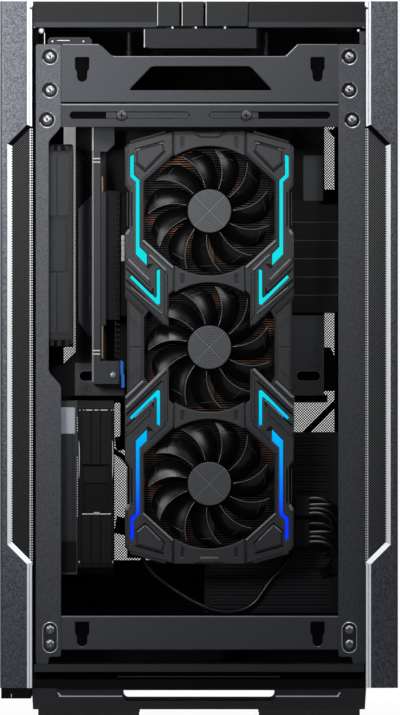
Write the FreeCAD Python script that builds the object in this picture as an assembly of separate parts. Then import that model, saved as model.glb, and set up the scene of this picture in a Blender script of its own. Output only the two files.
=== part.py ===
"""Upright small form factor computer case with its near side open, in millimetres.

X runs from the front panel (-) to the rear panel (+), Y from the open side (-) to the perforated
side panel (+), Z up. The origin is on the floor, in the middle of the base.
"""
import FreeCAD
import Part
import math
import os

V = FreeCAD.Vector

# Overall size and stock
CASE_DEPTH = 274.0
CASE_WIDTH = 170.0
CASE_HEIGHT = 492.0
SHEET = 1.2
SLIDE_GAP = 0.4
RUN_GAP = 0.05
AXIAL_GAP = 0.5

# Base
FOOT_HEIGHT = 4.5
FOOT_LENGTH = 69.5
FOOT_WIDTH = 22.0
FOOT_SPACING = 152.0
STAND_END_INSET = 21.5
STAND_SIDE_INSET = 5.0
STAND_HEIGHT = 20.3
STAND_TAPER = 1.2
STAND_END = 18.0
LIP_HEIGHT = 9.3
LIP_STEP = 2.5
TUNNEL_LENGTH = 105.0
TUNNEL_HEIGHT = 7.3
TUNNEL_SILL = 5.8
TUNNEL_RADIUS = 3.4
NECK_HEIGHT = 9.5
NECK_INSET = 3.6
FLOOR_SIDE_INSET = 2.0
FLOOR_LIP = 5.2

# Posts, plates and rails of the steel frame
FRAME_RECESS = 7.0
FRAME_DROP = 29.4
POST_WIDTH = 18.6
POST_NECK = 9.6
NECK_BELOW_FAN = 17.2
NECK_ABOVE_FAN = 1.8
POST_SLOPE = 10.0
POST_SEAT = 21.0
POST_FOOT = 40.6
POST_TONGUE = 8.0
POST_EAR = 5.0
POST_EAR_RISE = 8.9
PLATE_DROP = 39.9
PLATE_EAR = 27.0
PLATE_DIP = 8.3
WINDOW_TOP = 64.0
WINDOW_BOTTOM = 94.0
WINDOW_HEIGHT = 16.5
WINDOW_RAISE = 8.2
KEY_SPACING = 162.0
KEY_WIDE = 9.6
KEY_NARROW = 6.9
KEY_LENGTH = 16.9
KEY_TOP_DROP = 9.0
KEY_CORNER = 1.2
KEY_FACETS = 3
RAIL_GAP = 1.0
RAIL_HEIGHT = 16.2
RAIL_SLOT_HEIGHT = 4.8
RAIL_SLOT_INNER = 7.0
RAIL_SLOT_OUTER = 89.5
LOW_RAIL_BOTTOM = 45.4
LOW_RAIL_HEIGHT = 23.4
LOW_KEY_DROP = 4.1
IO_WINDOW = (160.0, 42.0)
IO_WINDOW_Y = 38.0
CARD_WINDOW = (100.0, 34.0)
CARD_WINDOW_Y = -40.0

# Aluminium panels and their mesh liners
PANEL_WALL = 3.0
PANEL_RETURN = 22.0
PANEL_BOTTOM = 19.3
PANEL_CORNER = 2.5
NOTCH_DEPTH = 13.5
NOTCH_LOW = 106.0
NOTCH_DROP = 86.2
BEVEL_WIDTH = 3.4
BEVEL_DEPTH = 1.7
BOSS_SIZE = 8.0
BOSS_LOW = 80.0
BOSS_DROP = 52.0
BOSS_EDGE = 12.0
MESH_SHEET = 0.8
MESH_LAP = 3.0
MESH_FOLD = 5.0
MESH_SLOT_COUNT = 8
MESH_BAR = 7.0
CAP_HEIGHT = 7.3
CAP_INSET = 0.8
CAP_GAP = 0.3

# Top cover, buttons and switches
COVER_GAP = 0.7
COVER_DEPTH = 17.7
COVER_SKIRT = 2.0
COVER_TOP = 2.5
COVER_INSET = 5.5
COVER_BEVEL = 3.4
BUTTON_EDGES = (-28.6, -13.4, -11.7, 3.1, 4.8, 33.7)
BUTTON_DEPTH = 12.0
BUTTON_TRAVEL = 1.2
BUTTON_SIDE_GAP = 0.5
PLUNGER_SIZE = 2.0
HOUSING_TOP_LENGTH = 77.8
HOUSING_LOW_LENGTH = 75.4
HOUSING_HEIGHT = 13.3
HOUSING_DEPTH = 14.0
HOUSING_LIFT = 5.6
HOUSING_LEG = 6.0
PEG_INSET = 4.0
PEG_STEM = 1.5
PEG_COLLAR = 2.6
PEG_COLLAR_HEIGHT = 2.0
PEG_NOSE_HEIGHT = 4.0
COVER_BOSS = 9.0
LATCH_LENGTH = 30.3
LATCH_HEIGHT = 4.8
LATCH_CORNER = 1.8
LATCH_X = -89.0

# Perforated side panel
SIDE_SHEET = 1.2
SIDE_GAP = 1.4
SIDE_HEM = 2.6
SIDE_FRAME = 8.0
SIDE_ABOVE = 13.4
PERF_LOW = 106.0
PERF_DROP = 34.6
PERF_HALF = 100.0
PERF_COLUMNS = 6
PERF_ROWS = 9
PERF_BAR = 8.0
STUD_HEAD = 2.6
STUD_FIT = 0.3
STUD_SIDES = 8

# Cooling
INTAKE_SIDE = 15.0
INTAKE_DROP = 98.0
FAN_RIM = 4.0
RADIATOR_SIZE = 120.0
RADIATOR_GAP = 37.0
RADIATOR_DEPTH = 28.5
RADIATOR_BORE = 57.0
RADIATOR_TANK = 16.0
RADIATOR_FINS = 9
FAN_DEPTH = 25.0
FAN_FLANGE = 4.0
FAN_CORNER = 5.0
FAN_POCKET = 38.0
FAN_POCKET_DEPTH = 2.6
FAN_HUB = 20.0
FAN_STRUT = 5.0
FAN_TIP_GAP = 1.2
FAN_BLADES = 7
HUB_SIDES = 22
DUCT_SIDES = 28
SPINDLE = 3.0
HOSE_RADIUS = 5.0
HOSE_BEND = 32.0
HOSE_LANE = 16.0
TUBE_SIDES = 6
MANIFOLD_HEIGHT = 14.0

# Mainboard side
TRAY_Y = 4.0
TRAY_LEFT_SETBACK = 51.4
TRAY_RIGHT_SETBACK = 223.7
TRAY_BELOW_BOARD = 31.7
TRAY_TAB_LEFT_SETBACK = 29.0
TRAY_TAB_HEIGHT = 21.7
TRAY_FLANGE = 9.0
TRAY_SLOT_RAISE = 13.7
TRAY_SLOT_HEIGHT = 7.0
SLOT_EDGE = 2.5
SLOT_LENGTH = 16.7
STANDOFF = 6.5
STANDOFF_SIZE = 6.0
BOARD_SIZE = 170.0
BOARD_CENTRE_SETBACK = 139.0
BOARD_DROP = 70.0
BOARD_THICK = 1.6
BOARD_HOLE_SPACING = 156.0
PORT_HEIGHTS = (36.0, 20.0, 28.0)
PORT_LENGTH = 38.0
PORT_DEPTH = 22.0
MEMORY_CLEAR = 37.0
MEMORY_HEIGHT = 32.0
MEMORY_THICK = 6.0
MEMORY_PITCH = 10.0
MEMORY_SETBACK = 183.0
PUMP_RADIUS = 29.0
PUMP_HEIGHT = 36.0
PUMP_BASE = 60.0
PUMP_BASE_HEIGHT = 8.0
PUMP_SETBACK = 117.0
PUMP_RAISE = 83.0
PUMP_PORT = 6.0
PUMP_PORT_PITCH = 24.0

# Power supply
PSU_LENGTH = 100.0
PSU_HEIGHT = 125.0
PSU_DEPTH = 63.5
PSU_LEFT_SETBACK = 140.8
PSU_LIFT_SHARE = 0.577
PSU_FACE_Y = -10.0
PSU_GROOVES = 18
PSU_GROOVE = 2.4
PSU_GROOVE_DEPTH = 1.0
PSU_MARGIN = 4.0
PSU_END = 12.8

# Graphics card
CARD_SETBACK = 144.2
CARD_DROP = 88.9
CARD_FACE_Y = -62.0
CARD_SKIN = 2.2
CARD_SKIRT = 20.0
CARD_HALF_WIDTH = 58.3
CARD_HALF_LENGTH = 149.3
CARD_CROWN = 24.0
CARD_SHOULDER = 9.0
CARD_CORNER = 2.2
CARD_WAIST = 3.1
WAIST_LOW = 81.6
WAIST_HIGH = 108.4
WAIST_SLOPE = 4.0
CARD_MIDDLE_STEP = 1.4
CARD_MIDDLE_HALF = 34.0
FAN_PITCH = 94.1
OPENING_RADIUS = 44.7
OPENING_SIDES = 44
OPENING_SIDE = 44.9
OPENING_CORNER = 24.1
OPENING_FLAT = 20.7
OPENING_SHOULDER = 39.2
WEDGE_EDGE = 28.0
WEDGE_TIP = 13.4
WEDGE_BASE = 41.6
STRIP_DEPTH = 1.2
STRIP_WIDTH = 2.7
STRIP_TOP = 134.3
STRIP_JOG = 118.0
STRIP_LOW = 69.4
STRIP_OUTER = 54.8
STRIP_INNER = 50.8
STRIP_TAIL = 7.8
VEE_OUTER = 36.5
VEE_TOP = 54.7
VEE_LOW = 29.3
VEE_FAR = 55.3
VEE_FAR_Z = 49.9
CARD_BOSS = 5.0
BOSS_U = 49.0
BOSS_V = 47.0
HEATSINK_FRONT = 18.0
HEATSINK_HALF_WIDTH = 52.0
HEATSINK_HALF_LENGTH = 138.0
HEATSINK_BASE = 3.0
HEATSINK_DEPTH = 20.4
HEATSINK_FINS = 28
FIN_RAIL = 6.0
SKIRT_WALL = 2.5
CARD_HUB = 15.1
CARD_HUB_LENGTH = 13.5
CARD_TIP = 42.3
CARD_BLADES = 11
BLADE_THICK = 1.2
BLADE_PITCH = 25.0
BLADE_SPAN = 27.0
BLADE_SWEEP = 18.0
BLADE_BULGE = 2.5
MOTOR_RADIUS = 12.0
MOTOR_HEIGHT = 2.5
CARD_BOARD_HALF = 57.0
CARD_BOARD_DROP = 145.8
TONGUE_LENGTH = 84.0
RIBBON_RAISE = 63.7
TONGUE_REACH = 6.5
CARD_SOCKET_DEPTH = 12.0
BRACKET_LEFT_SETBACK = 79.5
BRACKET_RIGHT_SETBACK = 177.0
LEAD_SOCKET = 6.0
LEAD_SOCKET_DEPTH = 7.0

# Riser
RISER_FACE_Y = -33.0
RISER_LEFT_SETBACK = 63.3
RISER_SPINE = 5.5
RISER_BELOW = 25.2
RISER_ABOVE = 158.2
RISER_UPPER_TAB = (15.2, 22.8)
RISER_LOWER_TAB = (18.6, 15.8)
RISER_CHAMFER = 5.0
RISER_FOOT = 9.0
RISER_BOARD_SETBACK = 69.5
RISER_BOARD_THICK = 1.4
RISER_BOARD_BELOW = 7.8
RISER_BOARD_ABOVE = 118.2
SOCKET_HEIGHT = 11.3
SOCKET_WIDTH = 7.6
SOCKET_LENGTH = 89.0
SOCKET_FIT = 0.2
RIBBON_WIDTH = 76.2
RIBBON_THICK = 1.0
RIBBON_Y = 0.0
RIBBON_BEND = 18.0
RIBBON_TURN_SETBACK = 217.0
RISER_PLUG_DEPTH = 8.0
BOARD_SLOT_HEIGHT = 10.7

# Plugs and leads
PLUG_FACE_SETBACK = 203.5
PLUG_LENGTH = 9.5
PLUG_WIDTH = 9.6
PLUG_HEIGHTS = (18.0, 13.7)
PLUG_DROPS = (137.2, 116.1)
POWER_RADIUS = 1.5
SCREW_HEAD = 3.8
SCREW_RISE = 1.5
LEAD_RADIUS = 1.6
LEAD_Y = -15.0

# Lighting lead: distance from the card's middle, share of the height from the floor to the card
LEAD_STEPS = (
    (56.8, 1.1379),
    (56.8, 0.9862),
    (40.8, 0.8069),
    (28.8, 0.5586),
    (6.8, 0.5103),
    (-19.2, 0.669),
    (-48.2, 0.9586),
    (-48.2, 1.1379),
)

# Screws down the posts: distance from the post's outer edge,
# then drop from the frame's top or height over the low rail
SCREW_INSET = 11.0
RAIL_SCREW_INSET = 7.6
SCREW_DROPS = (8.9, 31.7)
RAIL_SCREW_DROP = 52.3
LOW_SCREW_RISES = (13.8, 3.8)

# Places that follow from the sizes above
HALF_DEPTH = CASE_DEPTH / 2
HALF_WIDTH = CASE_WIDTH / 2
STAND_LENGTH = CASE_DEPTH - 2 * STAND_END_INSET
STAND_WIDTH = CASE_WIDTH - 2 * STAND_SIDE_INSET
FLOOR_WIDTH = CASE_WIDTH - 2 * FLOOR_SIDE_INSET
FRAME_TOP = CASE_HEIGHT - FRAME_DROP
STAND_TOP = FOOT_HEIGHT + STAND_HEIGHT
FLOOR_UNDER = STAND_TOP + NECK_HEIGHT
FLOOR_TOP = FLOOR_UNDER + SHEET
PANEL_EDGE = HALF_DEPTH - PANEL_RETURN
TRAY_LEFT = TRAY_LEFT_SETBACK - HALF_DEPTH
TRAY_RIGHT = TRAY_RIGHT_SETBACK - HALF_DEPTH
TRAY_TAB_LEFT = TRAY_TAB_LEFT_SETBACK - HALF_DEPTH
BOARD_CENTRE_X = BOARD_CENTRE_SETBACK - HALF_DEPTH
MEMORY_X = MEMORY_SETBACK - HALF_DEPTH
PUMP_X = PUMP_SETBACK - HALF_DEPTH
PSU_LEFT = PSU_LEFT_SETBACK - HALF_DEPTH
CARD_X = CARD_SETBACK - HALF_DEPTH
BRACKET_LEFT = BRACKET_LEFT_SETBACK - HALF_DEPTH
BRACKET_RIGHT = BRACKET_RIGHT_SETBACK - HALF_DEPTH
RISER_LEFT = RISER_LEFT_SETBACK - HALF_DEPTH
RISER_BOARD_X = RISER_BOARD_SETBACK - HALF_DEPTH
RIBBON_TURN_X = RIBBON_TURN_SETBACK - HALF_DEPTH
PLUG_FACE_X = PLUG_FACE_SETBACK - HALF_DEPTH
NOTCH_HIGH = CASE_HEIGHT - NOTCH_DROP
BOSS_HIGH = CASE_HEIGHT - BOSS_DROP
PERF_HIGH = FRAME_TOP - PERF_DROP
SIDE_RISE = FRAME_TOP + SIDE_ABOVE - FLOOR_TOP
INTAKE_SIZE = CASE_WIDTH - 2 * INTAKE_SIDE
INTAKE_BORE = INTAKE_SIZE / 2 - FAN_RIM
INTAKE_LOW = CASE_HEIGHT - INTAKE_DROP - INTAKE_SIZE
POST_NECK_LOW = INTAKE_LOW - NECK_BELOW_FAN
POST_NECK_HIGH = INTAKE_LOW + INTAKE_SIZE + NECK_ABOVE_FAN
RADIATOR_LOW = INTAKE_LOW - RADIATOR_GAP - RADIATOR_SIZE
BOARD_LOW = CASE_HEIGHT - BOARD_DROP - BOARD_SIZE
MEMORY_LENGTH = BOARD_SIZE - MEMORY_CLEAR
PUMP_Z = BOARD_LOW + PUMP_RAISE
TRAY_LOW = BOARD_LOW - TRAY_BELOW_BOARD
TRAY_SLOT_Z = TRAY_LOW + TRAY_SLOT_RAISE
PSU_LOW = FLOOR_TOP + PSU_LIFT_SHARE * (TRAY_LOW - FLOOR_TOP - PSU_HEIGHT)
CARD_Z = CASE_HEIGHT - CARD_DROP - CARD_HALF_LENGTH
CARD_BOARD_LOW = CARD_Z - CARD_BOARD_DROP
PLUG_LOWS = [CARD_Z - drop for drop in PLUG_DROPS]
LEAD_ROUTE = [(CARD_X + x, FLOOR_TOP + share * (CARD_BOARD_LOW - FLOOR_TOP)) for x, share in LEAD_STEPS]
RISER_LOW = CARD_Z - RISER_BELOW
RISER_HIGH = CARD_Z + RISER_ABOVE
RISER_BOARD_LOW = CARD_Z - RISER_BOARD_BELOW
RISER_BOARD_HIGH = CARD_Z + RISER_BOARD_ABOVE
RIBBON_Z = CARD_Z + RIBBON_RAISE
POST_OUT = PANEL_EDGE - SIDE_GAP
POST_IN = POST_OUT - POST_WIDTH
SCREW_PLACES = [(POST_OUT - SCREW_INSET, FRAME_TOP - drop) for drop in SCREW_DROPS]
SCREW_PLACES += [(POST_OUT - RAIL_SCREW_INSET, FRAME_TOP - RAIL_SCREW_DROP)]
SCREW_PLACES += [(POST_OUT - SCREW_INSET, LOW_RAIL_BOTTOM + rise) for rise in LOW_SCREW_RISES]
SEAT_X = POST_OUT - SHEET
FRAME_Y = HALF_WIDTH - FRAME_RECESS
PLATE_Y = FRAME_Y - SHEET
PLATE_BACK_Y = PLATE_Y - SHEET
DECK_TOP = FRAME_TOP - PLATE_DIP
DECK_UNDER = DECK_TOP - SHEET
RAIL_TOP = FRAME_TOP - PLATE_DROP - RAIL_GAP
COVER_LOW = CASE_HEIGHT - COVER_DEPTH
HOUSING_TOP = DECK_TOP + HOUSING_LIFT + HOUSING_HEIGHT
COVER_Y = HALF_WIDTH - COVER_INSET
SIDE_IN_Y = COVER_Y + COVER_GAP
FAN_X = -SEAT_X
RADIATOR_FAN_X = FAN_X + RADIATOR_DEPTH
BOARD_Y = TRAY_Y + SHEET + STANDOFF
BOARD_FACE_Y = BOARD_Y + BOARD_THICK
BOARD_TOP = BOARD_LOW + BOARD_SIZE
HEATSINK_Y = CARD_FACE_Y + HEATSINK_FRONT
CARD_BOARD_Y = HEATSINK_Y + HEATSINK_DEPTH
CARD_TOP = CARD_Z + CARD_HALF_LENGTH
SOCKET_X = RISER_BOARD_X + RISER_BOARD_THICK
SOCKET_FACE_X = SOCKET_X + SOCKET_HEIGHT
RISER_FOOT_Y = TRAY_Y - SHEET


def block(x, y, z):
    """A box between the two ends of each axis."""
    low = V(min(x), min(y), min(z))
    return Part.makeBox(abs(x[1] - x[0]), abs(y[1] - y[0]), abs(z[1] - z[0]), low)


def face_of(points):
    """A flat face inside a closed outline."""
    return Part.Face(Part.makePolygon(points + points[:1]))


def plate_y(outline, y):
    """An XZ outline with thickness along Y."""
    face = face_of([V(a, y[0], b) for a, b in outline])
    return face.extrude(V(0, y[1] - y[0], 0))


def plate_x(outline, x):
    """A YZ outline with thickness along X."""
    face = face_of([V(x[0], a, b) for a, b in outline])
    return face.extrude(V(x[1] - x[0], 0, 0))


def rod_y(x, z, radius, y):
    """A round bar along Y."""
    return Part.makeCylinder(radius, y[1] - y[0], V(x, y[0], z), V(0, 1, 0))


def ring_points(radius, count):
    """Corners of a regular outline that touches the circle from inside."""
    return [(radius * math.cos(2 * math.pi * (i + 0.5) / count),
             radius * math.sin(2 * math.pi * (i + 0.5) / count))
            for i in range(count)]


def drum(radius, length, count):
    """A many-sided bar about the Z axis."""
    return face_of([V(a, b, 0) for a, b in ring_points(radius, count)]).extrude(V(0, 0, length))


def drum_y(x, z, radius, y, count):
    """A many-sided bar along Y."""
    return plate_y([(x + a, z + b) for a, b in ring_points(radius, count)], y)


def fused(shapes):
    """One solid from pieces that meet."""
    return shapes[0].fuse(shapes[1:]).removeSplitter()


def flip_x(shape):
    """The same shape at the other end of the case."""
    return shape.mirror(V(0, 0, 0), V(1, 0, 0))


def flip_y(shape):
    """The same shape on the other side of the case."""
    return shape.mirror(V(0, 0, 0), V(0, 1, 0))


def base_stand():
    """Plinth with tapered ends, stepped faces, a tunnel and the neck that carries the floor."""
    half = STAND_LENGTH / 2
    side = STAND_WIDTH / 2
    low = FOOT_HEIGHT
    ends = [(-half + STAND_TAPER, low), (half - STAND_TAPER, low), (half, STAND_TOP), (-half, STAND_TOP)]
    body = plate_y(ends, (-side, side))
    step = half - STAND_END
    cuts = []
    for sign in (-1, 1):
        face = (sign * side, sign * (side - LIP_STEP))
        cuts.append(block((-step, step), face, (low + LIP_HEIGHT, STAND_TOP)))
    sill = low + TUNNEL_SILL
    tunnel = block((-TUNNEL_LENGTH / 2, TUNNEL_LENGTH / 2), (-side, side), (sill, sill + TUNNEL_HEIGHT))
    lower = [e for e in tunnel.Edges if abs(e.BoundBox.ZMax - sill) < 0.01 and e.BoundBox.YLength > side]
    cuts.append(tunnel.makeFillet(TUNNEL_RADIUS, lower))
    neck = block((-half + NECK_INSET, half - NECK_INSET), (-side + NECK_INSET, side - NECK_INSET),
                 (STAND_TOP, FLOOR_UNDER))
    return fused([body.cut(cuts), neck])


def rubber_feet():
    """Four flat pads under the plinth."""
    side = STAND_WIDTH / 2
    pads = []
    for sx in (-1, 1):
        for sy in (-1, 1):
            middle = sx * FOOT_SPACING / 2
            pads.append(block((middle - FOOT_LENGTH / 2, middle + FOOT_LENGTH / 2),
                              (sy * side, sy * (side - FOOT_WIDTH)), (0, FOOT_HEIGHT)))
    return Part.makeCompound(pads)


def chassis_floor():
    """Floor pan with its edge folded down all round."""
    side = FLOOR_WIDTH / 2
    low = FLOOR_TOP - FLOOR_LIP
    pan = block((-POST_OUT, POST_OUT), (-side, side), (low, FLOOR_TOP))
    hollow = block((-POST_OUT + SHEET, POST_OUT - SHEET), (-side + SHEET, side - SHEET), (low, FLOOR_UNDER))
    return pan.cut(hollow)


def post(necked):
    """Near front corner post: a side flange with a foot tongue and an ear, folded to a fan seat."""
    out, inner = -POST_OUT, -POST_IN
    outline = [(out, FLOOR_TOP), (out + POST_TONGUE, FLOOR_TOP), (out + POST_TONGUE, POST_FOOT),
               (inner, POST_FOOT)]
    if necked:
        neck = out + POST_WIDTH - POST_NECK
        outline += [(inner, POST_NECK_LOW - POST_SLOPE), (neck, POST_NECK_LOW)]
        outline += [(neck, POST_NECK_HIGH), (inner, POST_NECK_HIGH + POST_SLOPE)]
    ear_top = FRAME_TOP + POST_EAR_RISE
    outline += [(inner, FRAME_TOP), (out + POST_EAR, FRAME_TOP), (out + POST_EAR, ear_top), (out, ear_top)]
    flange = plate_y(outline, (-FRAME_Y, -PLATE_Y))
    seat = block((out, -SEAT_X), (-FRAME_Y, -FRAME_Y + POST_SEAT), (FLOOR_TOP, FRAME_TOP))
    return fused([flange, seat])


def keyhole(x, top):
    """Cutter for a keyhole, square above, with sloped shoulders and a rounded foot, through the near plates."""
    wide = KEY_WIDE / 2
    narrow = KEY_NARROW / 2
    low = top - KEY_LENGTH + narrow
    shoulder = top - KEY_WIDE
    right = [(wide - KEY_CORNER, top), (wide, top - KEY_CORNER), (wide, shoulder + wide - narrow),
             (narrow, shoulder)]
    for step in range(KEY_FACETS + 1):
        angle = math.radians(90.0 * step / KEY_FACETS)
        right.append((narrow * math.cos(angle), low - narrow * math.sin(angle)))
    left = [(-u, v) for u, v in reversed(right[:-1])]
    return plate_y([(x + u, v) for u, v in right + left], (-PLATE_Y - SHEET, -PLATE_BACK_Y + SHEET))


def top_plate():
    """Near top plate with raised ends, keyholes and a window with slanted sides."""
    end = SEAT_X - SLIDE_GAP
    low = FRAME_TOP - PLATE_DROP
    ear = POST_IN - PLATE_EAR
    dip = ear - PLATE_DIP
    outline = [(-end, low), (end, low), (end, FRAME_TOP), (ear, FRAME_TOP), (dip, DECK_TOP)]
    outline += [(-dip, DECK_TOP), (-ear, FRAME_TOP), (-end, FRAME_TOP)]
    plate = plate_y(outline, (-PLATE_Y, -PLATE_BACK_Y))
    sill = low + WINDOW_RAISE
    head = sill + WINDOW_HEIGHT
    window = [(-WINDOW_BOTTOM / 2, sill), (WINDOW_BOTTOM / 2, sill), (WINDOW_TOP / 2, head),
              (-WINDOW_TOP / 2, head)]
    cuts = [plate_y(window, (-PLATE_Y, -PLATE_BACK_Y))]
    for sign in (-1, 1):
        cuts.append(keyhole(sign * KEY_SPACING / 2, FRAME_TOP - KEY_TOP_DROP))
    return plate.cut(cuts)


def bottom_rail():
    """Near bottom rail with two keyholes."""
    end = SEAT_X - SLIDE_GAP
    top = LOW_RAIL_BOTTOM + LOW_RAIL_HEIGHT
    rail = block((-end, end), (-PLATE_Y, -PLATE_BACK_Y), (LOW_RAIL_BOTTOM, top))
    cuts = []
    for sign in (-1, 1):
        cuts.append(keyhole(sign * KEY_SPACING / 2, top - LOW_KEY_DROP))
    return rail.cut(cuts)


def card_rail():
    """Cross rail with two long slots for the card's bracket screws."""
    end = SEAT_X - SLIDE_GAP
    y = (-PLATE_Y, -PLATE_BACK_Y)
    rail = block((-end, end), y, (RAIL_TOP - RAIL_HEIGHT, RAIL_TOP))
    middle = RAIL_TOP - RAIL_HEIGHT / 2
    slot = block((RAIL_SLOT_INNER, RAIL_SLOT_OUTER), y,
                 (middle - RAIL_SLOT_HEIGHT / 2, middle + RAIL_SLOT_HEIGHT / 2))
    return rail.cut([slot, flip_x(slot)])


def top_deck():
    """Sheet under the top cover with windows for the board's ports and the card's sockets."""
    end = SEAT_X - SLIDE_GAP
    deck = block((-end, end), (-PLATE_BACK_Y, PLATE_BACK_Y), (DECK_UNDER, DECK_TOP))
    cuts = []
    for size, x, y in ((IO_WINDOW, BOARD_CENTRE_X, IO_WINDOW_Y), (CARD_WINDOW, CARD_X, CARD_WINDOW_Y)):
        cuts.append(block((x - size[0] / 2, x + size[0] / 2), (y - size[1] / 2, y + size[1] / 2),
                          (DECK_UNDER, DECK_TOP)))
    return deck.cut(cuts)


def return_outline(inset):
    """Outline of a panel's side return, with its free edge drawn back by the bevel."""
    shift = inset * (math.sqrt(2) - 1)
    edge = -PANEL_EDGE - inset
    deep = edge - NOTCH_DEPTH
    return [(-HALF_DEPTH, PANEL_BOTTOM), (edge, PANEL_BOTTOM), (edge, NOTCH_LOW - shift),
            (deep, NOTCH_LOW + NOTCH_DEPTH - shift), (deep, NOTCH_HIGH - NOTCH_DEPTH + shift),
            (edge, NOTCH_HIGH + shift), (edge, CASE_HEIGHT), (-HALF_DEPTH, CASE_HEIGHT)]


def closed_wire(outline, y):
    """A closed wire in the XZ plane at a given Y."""
    points = [V(a, y, b) for a, b in outline]
    return Part.makePolygon(points + points[:1])


def front_panel():
    """Aluminium front, folded round both sides, notched, with bright bevelled edges and carrying bosses."""
    inner = -HALF_WIDTH + PANEL_WALL
    shoulder = -HALF_WIDTH + BEVEL_DEPTH
    thick = plate_y(return_outline(0), (shoulder, inner))
    bevel = Part.makeLoft([closed_wire(return_outline(0), shoulder),
                           closed_wire(return_outline(BEVEL_WIDTH), -HALF_WIDTH)], True, True)
    wall = block((-HALF_DEPTH, -HALF_DEPTH + PANEL_WALL), (-HALF_WIDTH, HALF_WIDTH),
                 (PANEL_BOTTOM, CASE_HEIGHT))
    skin = fused([wall, thick, bevel, flip_y(thick), flip_y(bevel)])
    corners = [e for e in skin.Edges
               if abs(e.BoundBox.XMax + HALF_DEPTH) < 0.01 and e.BoundBox.ZLength > CASE_HEIGHT / 2]
    skin = skin.makeFillet(PANEL_CORNER, corners)
    bosses = []
    middle_y = FRAME_Y - BOSS_EDGE
    for sign in (-1, 1):
        for z in (BOSS_LOW, BOSS_HIGH):
            y = sign * middle_y
            bosses.append(block((-HALF_DEPTH + PANEL_WALL, -POST_OUT), (y - BOSS_SIZE / 2, y + BOSS_SIZE / 2),
                                (z - BOSS_SIZE / 2, z + BOSS_SIZE / 2)))
    return fused([skin] + bosses)


def vent_mesh():
    """Near front liner behind the notch: a slit sheet with its free edge folded inwards."""
    y = (-HALF_WIDTH + PANEL_WALL, -HALF_WIDTH + PANEL_WALL + MESH_SHEET)
    left = -HALF_DEPTH + PANEL_WALL
    right = -PANEL_EDGE
    low = NOTCH_LOW - MESH_LAP
    high = NOTCH_HIGH + MESH_LAP
    sheet = block((left, right), y, (low, high))
    fold = block((right - MESH_SHEET, right), (y[1], y[1] + MESH_FOLD), (low, high))
    first = NOTCH_LOW + NOTCH_DEPTH
    pitch = (NOTCH_HIGH - NOTCH_LOW - 2 * NOTCH_DEPTH) / MESH_SLOT_COUNT
    gap_left = right - NOTCH_DEPTH + MESH_LAP
    gap_right = right - MESH_LAP
    rise = gap_right - gap_left
    cuts = []
    for index in range(MESH_SLOT_COUNT):
        z = first + index * pitch
        tall = pitch - MESH_BAR
        cuts.append(plate_y([(gap_left, z), (gap_right, z + rise), (gap_right, z + rise + tall),
                             (gap_left, z + tall)],
                            y))
    return fused([sheet, fold]).cut(cuts)


def front_end_cap():
    """Moulded cap that closes the bottom of the front panel."""
    return block((-HALF_DEPTH + CAP_INSET, -STAND_LENGTH / 2 - CAP_GAP),
                 (-HALF_WIDTH + CAP_INSET, HALF_WIDTH - CAP_INSET),
                 (PANEL_BOTTOM - CAP_HEIGHT, PANEL_BOTTOM))


def peg_places():
    """Where the cover's pegs stand on the deck."""
    x = SEAT_X - PEG_INSET
    y = PLATE_BACK_Y - PEG_INSET
    return [(sx * x, sy * y) for sx in (-1, 1) for sy in (-1, 1)]


def top_cover():
    """Lid with bevelled skirts, a bay for the buttons in its near edge and sockets for the pegs."""
    end = PANEL_EDGE - SIDE_GAP / 2
    skirt_low = COVER_LOW
    lid = block((-end, end), (-COVER_Y, COVER_Y), (CASE_HEIGHT - COVER_TOP, CASE_HEIGHT))
    pieces = [lid]
    for sign in (-1, 1):
        outer = sign * COVER_Y
        inner = sign * (COVER_Y - COVER_SKIRT)
        bevelled = sign * (COVER_Y - COVER_SKIRT / 2)
        profile = [(outer, CASE_HEIGHT - COVER_TOP), (outer, skirt_low + COVER_BEVEL), (bevelled, skirt_low),
                   (inner, skirt_low), (inner, CASE_HEIGHT - COVER_TOP)]
        pieces.append(plate_x(profile, (-end, end)))
    for x, y in peg_places():
        boss = block((x - COVER_BOSS / 2, x + COVER_BOSS / 2), (y - COVER_BOSS / 2, y + COVER_BOSS / 2),
                     (skirt_low, CASE_HEIGHT - COVER_TOP))
        bore = bar_z(x, y, PEG_STEM + RUN_GAP, (skirt_low, skirt_low + PEG_NOSE_HEIGHT + AXIAL_GAP))
        pieces.append(boss.cut(bore))
    bay = block((BUTTON_EDGES[0] - BUTTON_SIDE_GAP, BUTTON_EDGES[-1] + BUTTON_SIDE_GAP),
                (-COVER_Y, -COVER_Y + BUTTON_DEPTH + BUTTON_SIDE_GAP), (skirt_low, CASE_HEIGHT))
    return fused(pieces).cut(bay)


def bar_z(x, y, half, z):
    """A square bar along Z."""
    return block((x - half, x + half), (y - half, y + half), z)


def cover_pegs():
    """Four square pegs with collars that carry the cover."""
    pegs = []
    for x, y in peg_places():
        stem = bar_z(x, y, PEG_STEM, (DECK_TOP, COVER_LOW + PEG_NOSE_HEIGHT))
        collar = bar_z(x, y, PEG_COLLAR, (COVER_LOW - PEG_COLLAR_HEIGHT, COVER_LOW))
        pegs.append(fused([stem, collar]))
    return Part.makeCompound(pegs)


def plunger_place(index):
    """Middle of a button along X and of the plunger row along Y."""
    left, right = BUTTON_EDGES[2 * index], BUTTON_EDGES[2 * index + 1]
    return (left + right) / 2, -COVER_Y + BUTTON_DEPTH / 2


def button(index):
    """Key that wraps the cover's near edge, with the plunger that works its switch."""
    left, right = BUTTON_EDGES[2 * index], BUTTON_EDGES[2 * index + 1]
    low = HOUSING_TOP + BUTTON_TRAVEL + AXIAL_GAP
    key = block((left, right), (-COVER_Y, -COVER_Y + BUTTON_DEPTH), (low, CASE_HEIGHT))
    x, y = plunger_place(index)
    half = PLUNGER_SIZE / 2
    plunger = block((x - half, x + half), (y - half, y + half), (HOUSING_TOP - BUTTON_TRAVEL, low))
    return fused([key, plunger])


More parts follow.
